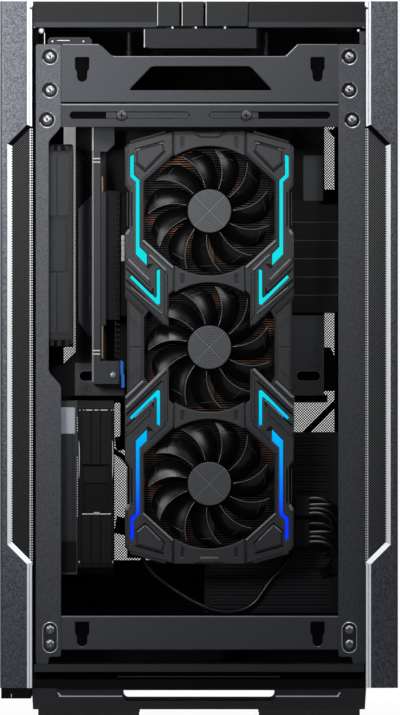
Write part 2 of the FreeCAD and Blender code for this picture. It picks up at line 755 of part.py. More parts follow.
def switch_housing():
    """Tapered switch box on two legs, with a well for each plunger."""
    y = (-COVER_Y, -COVER_Y + HOUSING_DEPTH)
    middle = (BUTTON_EDGES[0] + BUTTON_EDGES[-1]) / 2
    low = DECK_TOP + HOUSING_LIFT
    top = HOUSING_TOP_LENGTH / 2
    bottom = HOUSING_LOW_LENGTH / 2
    box = plate_y([(middle - bottom, low), (middle + bottom, low), (middle + top, HOUSING_TOP),
                   (middle - top, HOUSING_TOP)], y)
    wells = []
    for index in range(len(BUTTON_EDGES) // 2):
        x, py = plunger_place(index)
        half = PLUNGER_SIZE / 2 + RUN_GAP
        wells.append(block((x - half, x + half), (py - half, py + half),
                           (HOUSING_TOP - 2 * BUTTON_TRAVEL - AXIAL_GAP, HOUSING_TOP)))
    legs = []
    leg_y = (y[1] - HOUSING_LEG, y[1])
    for sign in (-1, 1):
        x = middle + sign * (bottom - HOUSING_LEG)
        legs.append(block((x - HOUSING_LEG / 2, x + HOUSING_LEG / 2), leg_y, (DECK_TOP, low)))
    return fused([box.cut(wells)] + legs)


def latch_plate():
    """Small spring plate on the raised end of the near top plate, with rounded ends."""
    plate = block((LATCH_X - LATCH_LENGTH / 2, LATCH_X + LATCH_LENGTH / 2), (-PLATE_Y, -PLATE_BACK_Y),
                  (FRAME_TOP, FRAME_TOP + LATCH_HEIGHT))
    upper = [e for e in plate.Edges if e.BoundBox.YLength > SHEET / 2 and e.BoundBox.ZMin > FRAME_TOP]
    return plate.makeChamfer(LATCH_CORNER, upper)


def side_panel():
    """Far panel: a framed sheet with a field of slanted gaps."""
    half = POST_OUT
    top = FLOOR_TOP + SIDE_RISE
    y = (SIDE_IN_Y + SIDE_HEM, SIDE_IN_Y + SIDE_HEM + SIDE_SHEET)
    sheet = block((-half, half), y, (FLOOR_TOP, top))
    hem = block((-half, half), (SIDE_IN_Y, y[0]), (FLOOR_TOP, top))
    hollow = block((-half + SIDE_FRAME, half - SIDE_FRAME), (SIDE_IN_Y, y[0]),
                   (FLOOR_TOP + SIDE_FRAME, top - SIDE_FRAME))
    pads = []
    for x, z in stud_places():
        pads.append(block((x - KEY_WIDE, x + KEY_WIDE), (SIDE_IN_Y, y[0]), (z - KEY_WIDE, z + KEY_WIDE)))
    column = 2 * PERF_HALF / PERF_COLUMNS
    row = (PERF_HIGH - PERF_LOW) / PERF_ROWS
    wide = (column - PERF_BAR) / 2
    tall = (row - PERF_BAR) / 2
    cuts = []
    for i in range(PERF_COLUMNS):
        for j in range(PERF_ROWS):
            x = -PERF_HALF + (i + 0.5) * column
            z = PERF_LOW + (j + 0.5) * row
            cuts.append(plate_y([(x - wide, z), (x, z - tall), (x + wide, z), (x, z + tall)], y))
    return fused([sheet.cut(cuts), hem.cut(hollow)] + pads)


def stud_places():
    """Middles of the studs, at the bottom of the far keyholes."""
    lows = [FRAME_TOP - KEY_TOP_DROP, LOW_RAIL_BOTTOM + LOW_RAIL_HEIGHT - LOW_KEY_DROP]
    drop = KEY_LENGTH - KEY_NARROW / 2
    return [(sx * KEY_SPACING / 2, top - drop) for sx in (-1, 1) for top in lows]


def panel_studs():
    """Headed studs that hang the side panel in the far keyholes."""
    studs = []
    seat = PLATE_BACK_Y - STUD_FIT
    for x, z in stud_places():
        shank = drum_y(x, z, KEY_NARROW / 2 - STUD_FIT, (seat, SIDE_IN_Y), STUD_SIDES)
        head = drum_y(x, z, KEY_WIDE / 2 - STUD_FIT, (seat - STUD_HEAD, seat), STUD_SIDES)
        studs.append(fused([shank, head]))
    return Part.makeCompound(studs)


def blade(root, tip, span, middle):
    """One fan blade about the Z axis: a swept crescent plate turned about its radius."""
    def at(radius, degrees):
        angle = math.radians(degrees)
        return V(radius * math.cos(angle), radius * math.sin(angle), -BLADE_THICK / 2)

    lean = BLADE_SWEEP / 2
    lead_root = at(root, span / 2 - lean)
    lead_tip = at(tip, span / 2 + lean)
    along = lead_tip.sub(lead_root)
    bulge = V(along.y, -along.x, 0).normalize().multiply(BLADE_BULGE)
    trail_root = at(root, -span / 2 - lean)
    trail_tip = at(tip, -span / 2 + lean)
    outline = [lead_root, lead_root.add(along * 0.5).add(bulge), lead_tip, trail_tip, trail_root]
    plate = face_of(outline).extrude(V(0, 0, BLADE_THICK))
    plate.rotate(V(0, 0, 0), V(1, 0, 0), BLADE_PITCH)
    box = plate.BoundBox
    plate.translate(V(0, 0, middle - (box.ZMin + box.ZMax) / 2))
    return plate


def rotor(hub_radius, hub_length, tip, blades):
    """Fan wheel about the Z axis, open end at Z = 0: hub with a blind spindle bore and swept blades."""
    hub = drum(hub_radius, hub_length, HUB_SIDES)
    bore = Part.makeCylinder(SPINDLE + RUN_GAP, hub_length - 2 * SPINDLE)
    pieces = [hub.cut(bore)]
    root = hub_radius - 2 * BLADE_THICK
    for index in range(blades):
        one = blade(root, tip, BLADE_SPAN * CARD_BLADES / blades, hub_length / 2)
        one.rotate(V(0, 0, 0), V(0, 0, 1), index * 360.0 / blades)
        pieces.append(one.cut(bore))
    return fused(pieces)


def wheel_length():
    """Length of a case fan's hub between its struts and its open side."""
    return FAN_DEPTH - FAN_FLANGE - 2 * AXIAL_GAP


def fan_frame(size, bore_radius):
    """Square fan frame about the Z axis: duct, side pockets, hub, struts and spindle."""
    half = size / 2
    frame = block((-half, half), (-half, half), (0, FAN_DEPTH))
    corners = [e for e in frame.Edges if e.BoundBox.ZLength > FAN_DEPTH / 2]
    frame = frame.makeChamfer(FAN_CORNER, corners)
    cuts = [drum(bore_radius, FAN_DEPTH, DUCT_SIDES)]
    pocket = block((half - FAN_POCKET_DEPTH, half), (-FAN_POCKET / 2, FAN_POCKET / 2),
                   (FAN_FLANGE, FAN_DEPTH - FAN_FLANGE))
    struts = []
    strut = block((FAN_HUB - 1, bore_radius + 1), (-FAN_STRUT / 2, FAN_STRUT / 2), (0, FAN_FLANGE))
    for quarter in range(4):
        turned = pocket.copy()
        turned.rotate(V(0, 0, 0), V(0, 0, 1), 90 * quarter)
        cuts.append(turned)
        arm = strut.copy()
        arm.rotate(V(0, 0, 0), V(0, 0, 1), 45 + 90 * quarter)
        struts.append(arm)
    hub = drum(FAN_HUB, FAN_FLANGE, DUCT_SIDES // 2)
    spindle = Part.makeCylinder(SPINDLE, wheel_length() - 2 * SPINDLE, V(0, 0, FAN_FLANGE))
    return fused([frame.cut(cuts), hub, spindle] + struts)


def along_x(shape, x, z):
    """Turns a shape about Z to lie along X from a given place."""
    turned = shape.copy()
    turned.rotate(V(0, 0, 0), V(0, 1, 0), 90)
    turned.translate(V(x, 0, z))
    return turned


def case_fan(size, bore_radius, x, low):
    """Frame and wheel of a case fan at its place."""
    middle = low + size / 2
    frame = along_x(fan_frame(size, bore_radius), x, middle)
    wheel = along_x(rotor(FAN_HUB, wheel_length(), bore_radius - FAN_TIP_GAP, FAN_BLADES),
                    x + FAN_FLANGE + AXIAL_GAP, middle)
    return frame, wheel


def radiator():
    """Radiator with a tank at each end and finned faces."""
    half = RADIATOR_SIZE / 2
    body = block((FAN_X, RADIATOR_FAN_X), (-half, half), (RADIATOR_LOW, RADIATOR_LOW + RADIATOR_SIZE))
    core_low = RADIATOR_LOW + RADIATOR_TANK
    core = RADIATOR_SIZE - 2 * RADIATOR_TANK
    pitch = core / RADIATOR_FINS
    cuts = []
    for index in range(RADIATOR_FINS):
        z = core_low + index * pitch
        cuts.append(block((FAN_X, FAN_X + FAN_FLANGE), (-half + FAN_FLANGE, half - FAN_FLANGE),
                          (z, z + pitch / 2)))
    return body.cut(cuts)


def ring_wire(radius, start, along):
    """Many-sided section of a tube, square to its path."""
    along = V(along).normalize()
    across = along.cross(V(0, 1, 0)) if abs(along.y) < 0.9 else along.cross(V(1, 0, 0))
    across.normalize()
    other = along.cross(across)
    points = [start + across * a + other * b for a, b in ring_points(radius, TUBE_SIDES)]
    return Part.makePolygon(points + points[:1])


def tube(route, radius):
    """Round tube along straight runs joined by the largest tangent arcs; also gives its radii and length."""
    edges = []
    radii = []
    start = route[0]
    for before, corner, after in zip(route, route[1:], route[2:]):
        back = before.sub(corner)
        ahead = after.sub(corner)
        shorter = min(back.Length, ahead.Length)
        half_turn = (math.pi - back.getAngle(ahead)) / 2
        reach = 0.45 * shorter
        bend = reach / math.tan(half_turn)
        radii.append(bend)
        back.normalize()
        ahead.normalize()
        first = corner.add(back * reach)
        last = corner.add(ahead * reach)
        inward = (back + ahead).normalize()
        middle = corner.add(inward * (bend / math.cos(half_turn) - bend))
        edges.append(Part.LineSegment(start, first).toShape())
        edges.append(Part.Arc(first, middle, last).toShape())
        start = last
    edges.append(Part.LineSegment(start, route[-1]).toShape())
    path = Part.Wire(edges)
    section = ring_wire(radius, route[0], route[1].sub(route[0]))
    return path.makePipeShell([section], True, False), radii, path.Length


def hose_lanes():
    """Place of each hose: its depth along Y and the X of its pump port."""
    first = BOARD_FACE_Y + PUMP_BASE_HEIGHT + HOSE_RADIUS + SLIDE_GAP
    return [(first, PUMP_X + PUMP_PORT_PITCH / 2), (first + HOSE_LANE, PUMP_X - PUMP_PORT_PITCH / 2)]


def manifold():
    """Block on the radiator's top that feeds the hoses."""
    lanes = hose_lanes()
    edge = HOSE_RADIUS + SHEET
    top = RADIATOR_LOW + RADIATOR_SIZE
    return block((FAN_X, RADIATOR_FAN_X), (lanes[0][0] - edge, lanes[1][0] + edge),
                 (top, top + MANIFOLD_HEIGHT))


def pump_port_low():
    """Height of the open ends of the pump ports."""
    return PUMP_Z - PUMP_RADIUS - PUMP_PORT


def radiator_hoses():
    """Two hoses, each with one wide bend from the manifold up to its pump port."""
    z = RADIATOR_LOW + RADIATOR_SIZE + MANIFOLD_HEIGHT / 2
    hoses = []
    for y, x in hose_lanes():
        start = V(RADIATOR_FAN_X, y, z)
        bend_start = V(x - HOSE_BEND, y, z)
        corner = V(x - HOSE_BEND * (1 - math.sqrt(0.5)), y, z + HOSE_BEND * (1 - math.sqrt(0.5)))
        bend_end = V(x, y, z + HOSE_BEND)
        end = V(x, y, pump_port_low())
        path = Part.Wire([Part.LineSegment(start, bend_start).toShape(),
                          Part.Arc(bend_start, corner, bend_end).toShape(),
                          Part.LineSegment(bend_end, end).toShape()])
        section = ring_wire(HOSE_RADIUS, start, V(1, 0, 0))
        hoses.append(path.makePipeShell([section], True, False))
    return Part.makeCompound(hoses)


def pump_block():
    """Water block: square base, round pump head and two ports that face down."""
    y = BOARD_FACE_Y
    half = PUMP_BASE / 2
    base = block((PUMP_X - half, PUMP_X + half), (y, y + PUMP_BASE_HEIGHT), (PUMP_Z - half, PUMP_Z + half))
    head = drum_y(PUMP_X, PUMP_Z, PUMP_RADIUS, (y + PUMP_BASE_HEIGHT, y + PUMP_HEIGHT), DUCT_SIDES)
    pieces = [base, head]
    for lane, x in hose_lanes():
        reach = HOSE_RADIUS - SLIDE_GAP
        pieces.append(block((x - reach, x + reach), (lane - reach, lane + reach), (pump_port_low(), PUMP_Z)))
    return fused(pieces)


def motherboard_tray():
    """Upright tray with a low arm, two slots, a flange under the deck and standoffs."""
    y = (TRAY_Y, TRAY_Y + SHEET)
    arm = TRAY_LOW + TRAY_TAB_HEIGHT
    outline = [(TRAY_TAB_LEFT, TRAY_LOW), (TRAY_RIGHT, TRAY_LOW), (TRAY_RIGHT, DECK_UNDER),
               (TRAY_LEFT, DECK_UNDER),
               (TRAY_LEFT, arm + TRAY_FLANGE), (TRAY_LEFT - TRAY_FLANGE, arm), (TRAY_TAB_LEFT, arm)]
    plate = plate_y(outline, y)
    slot_z = (TRAY_SLOT_Z - TRAY_SLOT_HEIGHT / 2, TRAY_SLOT_Z + TRAY_SLOT_HEIGHT / 2)
    slots = [block((TRAY_RIGHT - SLOT_EDGE - SLOT_LENGTH, TRAY_RIGHT - SLOT_EDGE), y, slot_z),
             block((TRAY_LEFT + SLOT_EDGE, TRAY_LEFT + SLOT_EDGE + SLOT_LENGTH), y, slot_z)]
    flange = block((TRAY_LEFT, TRAY_RIGHT), (y[1], y[1] + TRAY_FLANGE), (DECK_UNDER - SHEET, DECK_UNDER))
    pieces = [plate.cut(slots), flange]
    half = BOARD_HOLE_SPACING / 2
    middle_z = BOARD_LOW + BOARD_SIZE / 2
    for sx in (-1, 1):
        for sz in (-1, 1):
            x = BOARD_CENTRE_X + sx * half
            z = middle_z + sz * half
            size = STANDOFF_SIZE / 2
            pieces.append(block((x - size, x + size), (y[1], BOARD_Y), (z - size, z + size)))
    return fused(pieces)


def board_slot():
    """Edge socket of the mainboard that takes the riser's plug."""
    middle = RIBBON_Z
    return block((RIBBON_TURN_X - RISER_PLUG_DEPTH, RIBBON_TURN_X),
                 (BOARD_FACE_Y, BOARD_FACE_Y + BOARD_SLOT_HEIGHT),
                 (middle - SOCKET_LENGTH / 2, middle + SOCKET_LENGTH / 2))


def motherboard():
    """Mainboard with its row of rear ports and the riser's edge socket."""
    half = BOARD_SIZE / 2
    board = block((BOARD_CENTRE_X - half, BOARD_CENTRE_X + half), (BOARD_Y, BOARD_FACE_Y),
                  (BOARD_LOW, BOARD_TOP))
    pieces = [board, board_slot()]
    left = BOARD_CENTRE_X - half + STANDOFF
    for index, height in enumerate(PORT_HEIGHTS):
        x = left + index * (PORT_LENGTH + STANDOFF)
        pieces.append(block((x, x + PORT_LENGTH), (BOARD_FACE_Y, BOARD_FACE_Y + height),
                            (BOARD_TOP - PORT_DEPTH, BOARD_TOP + STANDOFF)))
    return fused(pieces)


def memory_modules():
    """Two memory modules, upright on the mainboard."""
    sticks = []
    middle = BOARD_LOW + BOARD_SIZE / 2 - STANDOFF
    for index in range(2):
        x = MEMORY_X + index * MEMORY_PITCH
        sticks.append(block((x, x + MEMORY_THICK), (BOARD_FACE_Y, BOARD_FACE_Y + MEMORY_HEIGHT),
                            (middle - MEMORY_LENGTH / 2, middle + MEMORY_LENGTH / 2)))
    return Part.makeCompound(sticks)


def psu_case():
    """Power supply with louvred grooves in its near face."""
    x = (PSU_LEFT, PSU_LEFT + PSU_LENGTH)
    body = block(x, (PSU_FACE_Y, PSU_FACE_Y + PSU_DEPTH), (PSU_LOW, PSU_LOW + PSU_HEIGHT))
    pitch = (PSU_HEIGHT - 2 * PSU_MARGIN) / PSU_GROOVES
    cuts = []
    for index in range(PSU_GROOVES):
        z = PSU_LOW + PSU_MARGIN + index * pitch
        cuts.append(block((x[0] + PSU_MARGIN, x[1] - PSU_END), (PSU_FACE_Y, PSU_FACE_Y + PSU_GROOVE_DEPTH),
                          (z, z + PSU_GROOVE)))
    return body.cut(cuts)


def psu_bracket():
    """Folded stool on the floor under the power supply."""
    x = (PSU_LEFT + PSU_MARGIN, PSU_LEFT + PSU_LENGTH - PSU_MARGIN)
    y = (PSU_FACE_Y + PSU_MARGIN, PSU_FACE_Y + PSU_DEPTH - PSU_MARGIN)
    whole = block(x, y, (FLOOR_TOP, PSU_LOW))
    hollow = block((x[0] + SHEET, x[1] - SHEET), y, (FLOOR_TOP, PSU_LOW - SHEET))
    return whole.cut(hollow)


def mirrored_outline(quadrant):
    """Closed outline from its upper right quarter, given from the top middle to the right middle."""
    right = quadrant + [(u, -v) for u, v in reversed(quadrant)]
    left = [(-u, v) for u, v in reversed(right)]
    return right + left


def shroud_quadrant():
    """Upper right quarter of the card's outline about its middle."""
    wide, tall = CARD_HALF_WIDTH, CARD_HALF_LENGTH
    shoulder = tall - CARD_SHOULDER
    waist = wide - CARD_WAIST
    step = wide - CARD_MIDDLE_STEP
    return [(CARD_CROWN, tall), (wide - CARD_CORNER, shoulder), (wide, shoulder - CARD_CORNER),
            (wide, WAIST_HIGH + WAIST_SLOPE), (waist, WAIST_HIGH), (waist, WAIST_LOW),
            (wide, WAIST_LOW - WAIST_SLOPE), (wide, CARD_MIDDLE_HALF),
            (step, CARD_MIDDLE_HALF - CARD_MIDDLE_STEP)]


def on_card(outline, y):
    """A plate from an outline about the card's middle."""
    return plate_y([(CARD_X + u, CARD_Z + v) for u, v in outline], y)


def inset_quadrant():
    """Upper right quarter of the hollow behind the shroud's face."""
    wide, tall = CARD_HALF_WIDTH - CARD_WAIST - SHEET, CARD_HALF_LENGTH - SKIRT_WALL
    return [(CARD_CROWN, tall), (wide, tall - CARD_SHOULDER + SHEET)]


def fan_opening(v, y):
    """Cutter for a fan opening: a circle joined with an octagon."""
    ring = drum_y(CARD_X, CARD_Z + v, OPENING_RADIUS, y, OPENING_SIDES)
    quadrant = [(OPENING_CORNER, OPENING_SHOULDER), (OPENING_SIDE, OPENING_FLAT)]
    octagon = [(u, v + w) for u, w in mirrored_outline(quadrant)]
    return ring.fuse(on_card(octagon, y))


def wedge(sign_u, sign_v, y):
    """Corner of the face that points into the middle opening."""
    points = [(CARD_HALF_WIDTH, WEDGE_BASE), (WEDGE_EDGE, WEDGE_TIP), (WEDGE_EDGE, CARD_HALF_WIDTH),
              (CARD_HALF_WIDTH, CARD_HALF_WIDTH)]
    return on_card([(sign_u * u, sign_v * v) for u, v in points], y)


def strip_outlines():
    """Outlines of the two light strips of the upper right quarter."""
    outer, inner, wide = STRIP_OUTER, STRIP_INNER, STRIP_WIDTH
    jog = outer - inner
    bar = [(outer - wide, STRIP_TOP - wide), (outer, STRIP_TOP), (outer, STRIP_JOG), (inner, STRIP_JOG - jog),
           (inner, STRIP_LOW - STRIP_TAIL + wide), (inner - STRIP_TAIL, STRIP_LOW - 2 * STRIP_TAIL + wide),
           (inner - STRIP_TAIL, STRIP_LOW - STRIP_TAIL + wide), (inner - wide, STRIP_LOW),
           (inner - wide, STRIP_JOG - jog + wide / 2), (outer - wide, STRIP_JOG + wide / 2)]
    inset = VEE_OUTER - wide
    rise = (VEE_FAR_Z - VEE_LOW) / (VEE_FAR - VEE_OUTER)
    vee = [(inset, VEE_TOP), (inset, VEE_LOW), (VEE_OUTER, VEE_LOW), (VEE_FAR, VEE_FAR_Z),
           (VEE_FAR - wide, VEE_FAR_Z + wide), (VEE_OUTER, VEE_LOW + wide * (1 + rise)), (VEE_OUTER, VEE_TOP)]
    return [bar, vee]


def light_strips():
    """The eight light strips, set in their grooves flush with the card's face."""
    y = (CARD_FACE_Y, CARD_FACE_Y + STRIP_DEPTH)
    strips = []
    for outline in strip_outlines():
        for su in (-1, 1):
            for sv in (-1, 1):
                strips.append(on_card([(su * u, sv * v) for u, v in outline], y))
    return strips


def card_shroud():
    """Card front: face with three fan openings, strip grooves, a skirt and bosses on the heatsink."""
    face_y = (CARD_FACE_Y, CARD_FACE_Y + CARD_SKIN)
    outline = mirrored_outline(shroud_quadrant())
    face = on_card(outline, face_y)
    cuts = [fan_opening(v, face_y) for v in (-FAN_PITCH, 0, FAN_PITCH)]
    face = face.cut(cuts)
    wedges = [wedge(su, sv, face_y) for su in (-1, 1) for sv in (-1, 1)]
    inside = on_card(outline, face_y)
    ends = [fan_opening(v, face_y) for v in (-FAN_PITCH, FAN_PITCH)]
    wedges = [w.common(inside).cut(ends) for w in wedges]
    face = face.fuse(wedges).removeSplitter().cut(light_strips())
    skirt_y = (face_y[1], CARD_FACE_Y + CARD_SKIRT)
    skirt = on_card(outline, skirt_y).cut(on_card(mirrored_outline(inset_quadrant()), skirt_y))
    bosses = []
    for su in (-1, 1):
        for sv in (-1, 1):
            u, v = CARD_X + su * BOSS_U, CARD_Z + sv * BOSS_V
            bosses.append(block((u - CARD_BOSS / 2, u + CARD_BOSS / 2), (face_y[1], HEATSINK_Y),
                                (v - CARD_BOSS / 2, v + CARD_BOSS / 2)))
    return fused([face, skirt] + bosses)


def card_heatsink():
    """Finned block with a solid base and side rails."""
    wide, tall = HEATSINK_HALF_WIDTH, HEATSINK_HALF_LENGTH
    x = (CARD_X - wide, CARD_X + wide)
    body = block(x, (HEATSINK_Y, CARD_BOARD_Y), (CARD_Z - tall, CARD_Z + tall))
    pitch = (2 * tall - SHEET) / HEATSINK_FINS
    cuts = []
    for index in range(HEATSINK_FINS):
        z = CARD_Z - tall + SHEET + index * pitch
        cuts.append(block((x[0] + FIN_RAIL, x[1] - FIN_RAIL), (HEATSINK_Y, CARD_BOARD_Y - HEATSINK_BASE),
                          (z, z + pitch - SHEET)))
    return body.cut(cuts)


def card_fans():
    """The motors on the heatsink and the three fan wheels that run on them."""
    bore = CARD_HUB_LENGTH - 2 * SPINDLE
    motors = []
    wheels = []
    for v in (FAN_PITCH, 0, -FAN_PITCH):
        z = CARD_Z + v
        top = HEATSINK_Y - MOTOR_HEIGHT
        disc = drum_y(CARD_X, z, MOTOR_RADIUS, (top, HEATSINK_Y), HUB_SIDES)
        motors.append(fused([disc, rod_y(CARD_X, z, SPINDLE, (top - bore, top))]))
        wheel = rotor(CARD_HUB, CARD_HUB_LENGTH, CARD_TIP, CARD_BLADES)
        wheel.rotate(V(0, 0, 0), V(1, 0, 0), 90)
        wheel.translate(V(CARD_X, top - AXIAL_GAP, z))
        wheels.append(wheel)
    return Part.makeCompound(motors), wheels


def card_board():
    """Card's circuit board with the edge tongue for the riser and its power socket."""
    y = (CARD_BOARD_Y, CARD_BOARD_Y + BOARD_THICK)
    left = CARD_X - CARD_BOARD_HALF
    right = CARD_X + CARD_BOARD_HALF
    board = block((left, right), y, (CARD_BOARD_LOW, CARD_TOP))
    tongue = block((SOCKET_FACE_X - TONGUE_REACH, left), y,
                   (RIBBON_Z - TONGUE_LENGTH / 2, RIBBON_Z + TONGUE_LENGTH / 2))
    power = block((right - PLUG_LENGTH / 2, PLUG_FACE_X), (CARD_BOARD_Y - CARD_SOCKET_DEPTH, CARD_BOARD_Y),
                  (PLUG_LOWS[0], PLUG_LOWS[1] + PLUG_HEIGHTS[1]))
    return fused([board, tongue, power])


def card_backplate():
    """Plate on the back of the card with two small lighting sockets."""
    y = (CARD_BOARD_Y + BOARD_THICK, CARD_BOARD_Y + BOARD_THICK + SHEET)
    plate = block((CARD_X - CARD_BOARD_HALF, CARD_X + CARD_BOARD_HALF), y, (CARD_BOARD_LOW, CARD_TOP))
    pieces = [plate]
    for x, z in (LEAD_ROUTE[0], LEAD_ROUTE[-1]):
        half = LEAD_SOCKET / 2
        pieces.append(block((x - half, x + half), (y[1], y[1] + LEAD_SOCKET_DEPTH), (z, z + LEAD_SOCKET)))
    return fused(pieces)


def card_bracket():
    """Folded bracket on the card's top end, screwed behind the cross rail."""
    back = CARD_BOARD_Y + BOARD_THICK + SHEET
    foot = block((CARD_X - CARD_CROWN * 2, CARD_X + CARD_CROWN * 2), (CARD_FACE_Y, back),
                 (CARD_TOP, CARD_TOP + SHEET))
    shelf = block((CARD_X - CARD_CROWN, CARD_X + CARD_CROWN), (-PLATE_BACK_Y, CARD_FACE_Y),
                  (CARD_TOP, CARD_TOP + SHEET))
    flange = block((BRACKET_LEFT, BRACKET_RIGHT), (-PLATE_BACK_Y, -PLATE_BACK_Y + SHEET),
                   (CARD_TOP, RAIL_TOP - SHEET))
    return fused([foot, shelf, flange])


def riser_bracket():
    """Folded upright that carries the riser: front flange with two tabs, web and a foot on the tray."""
    left, spine = RISER_LEFT, RISER_LEFT + RISER_SPINE
    up_x, up_z = RISER_UPPER_TAB
    low_x, low_z = RISER_LOWER_TAB
    outline = [(left, RISER_LOW), (left + low_x, RISER_LOW), (left + low_x, RISER_LOW + low_z),
               (spine, RISER_LOW + low_z), (spine, RISER_HIGH - up_z),
               (left + up_x - RISER_CHAMFER, RISER_HIGH - up_z),
               (left + up_x, RISER_HIGH - up_z + RISER_CHAMFER),
               (left + up_x, RISER_HIGH), (left, RISER_HIGH)]
    flange = plate_y(outline, (RISER_FACE_Y, RISER_FACE_Y + SHEET))
    web = block((left, left + SHEET), (RISER_FACE_Y, TRAY_Y), (RISER_LOW, RISER_HIGH))
    foot = block((left, left + RISER_FOOT), (RISER_FOOT_Y, TRAY_Y), (RISER_LOW, RISER_HIGH))
    return fused([flange, web, foot])


def riser_socket():
    """Riser's small board with the slot that takes the card's tongue."""
    board = block((RISER_BOARD_X, SOCKET_X), (RISER_FACE_Y, RISER_FOOT_Y),
                  (RISER_BOARD_LOW, RISER_BOARD_HIGH))
    middle_y = CARD_BOARD_Y + BOARD_THICK / 2
    body = block((SOCKET_X, SOCKET_FACE_X), (middle_y - SOCKET_WIDTH / 2, middle_y + SOCKET_WIDTH / 2),
                 (RIBBON_Z - SOCKET_LENGTH / 2, RIBBON_Z + SOCKET_LENGTH / 2))
    half = BOARD_THICK / 2 + SOCKET_FIT
    groove = block((SOCKET_FACE_X - TONGUE_REACH - SLIDE_GAP, SOCKET_FACE_X),
                   (middle_y - half, middle_y + half),
                   (RIBBON_Z - TONGUE_LENGTH / 2 - SOCKET_FIT, RIBBON_Z + TONGUE_LENGTH / 2 + SOCKET_FIT))
    return fused([board, body.cut(groove)])


def riser_ribbon():
    """Flat ribbon from the riser, round the edge of the tray, to the plug on the mainboard."""
    outer_y = RIBBON_Y
    inner_y = RIBBON_Y + RIBBON_THICK
    back_outer = outer_y + 2 * RIBBON_BEND + RIBBON_THICK
    back_inner = back_outer - RIBBON_THICK
    middle = (outer_y + back_outer) / 2
    outer_r = (back_outer - outer_y) / 2
    inner_r = outer_r - RIBBON_THICK
    turn = RIBBON_TURN_X
    edges = [Part.LineSegment(V(SOCKET_X, outer_y, 0), V(turn, outer_y, 0)).toShape(),
             Part.Arc(V(turn, outer_y, 0), V(turn + outer_r, middle, 0), V(turn, back_outer, 0)).toShape(),
             Part.LineSegment(V(turn, back_outer, 0), V(turn, back_inner, 0)).toShape(),
             Part.Arc(V(turn, back_inner, 0), V(turn + inner_r, middle, 0), V(turn, inner_y, 0)).toShape(),
             Part.LineSegment(V(turn, inner_y, 0), V(SOCKET_X, inner_y, 0)).toShape(),
             Part.LineSegment(V(SOCKET_X, inner_y, 0), V(SOCKET_X, outer_y, 0)).toShape()]
    profile = Part.Face(Part.Wire(edges))
    ribbon = profile.extrude(V(0, 0, RIBBON_WIDTH))
    ribbon.translate(V(0, 0, RIBBON_Z - RIBBON_WIDTH / 2))
    return ribbon


def riser_plug():
    """Plug of the ribbon, seated on the mainboard's edge socket."""
    low = BOARD_FACE_Y + BOARD_SLOT_HEIGHT
    high = RIBBON_Y + 2 * RIBBON_BEND + RIBBON_THICK + SHEET
    return block((RIBBON_TURN_X - RISER_PLUG_DEPTH, RIBBON_TURN_X), (low, high),
                 (RIBBON_Z - SOCKET_LENGTH / 2, RIBBON_Z + SOCKET_LENGTH / 2))


def plug_middle(index):
    """Middle of a power plug's wire end."""
    y = CARD_BOARD_Y - CARD_SOCKET_DEPTH / 2
    return V(PLUG_FACE_X + PLUG_LENGTH, y, PLUG_LOWS[index] + PLUG_HEIGHTS[index] / 2)


def power_plugs():
    """Two power plugs side by side in the card's socket."""
    y = CARD_BOARD_Y - CARD_SOCKET_DEPTH / 2
    plugs = []
    for low, height in zip(PLUG_LOWS, PLUG_HEIGHTS):
        plugs.append(block((PLUG_FACE_X, PLUG_FACE_X + PLUG_LENGTH), (y - PLUG_WIDTH / 2, y + PLUG_WIDTH / 2),
                           (low, low + height)))
    return Part.makeCompound(plugs)


def power_routes():
    """Routes of the power bundles from their plugs into the power supply's face."""
    routes = []
    for index in range(len(PLUG_LOWS)):
        start = plug_middle(index)
        corner = V(PSU_LEFT + PSU_LENGTH - PSU_END / 2, start.y, start.z)
        routes.append([start, corner, V(corner.x, PSU_FACE_Y, corner.z)])
    return routes


def frame_screws():
    """Hexagonal screw heads down the near posts."""
    heads = []
    for sign in (-1, 1):
        for x, z in SCREW_PLACES:
            points = []
            for corner in range(6):
                angle = math.radians(60 * corner)
                points.append((sign * x + SCREW_HEAD * math.cos(angle), z + SCREW_HEAD * math.sin(angle)))
            heads.append(plate_y(points, (-FRAME_Y - SCREW_RISE, -FRAME_Y)))
    return Part.makeCompound(heads)


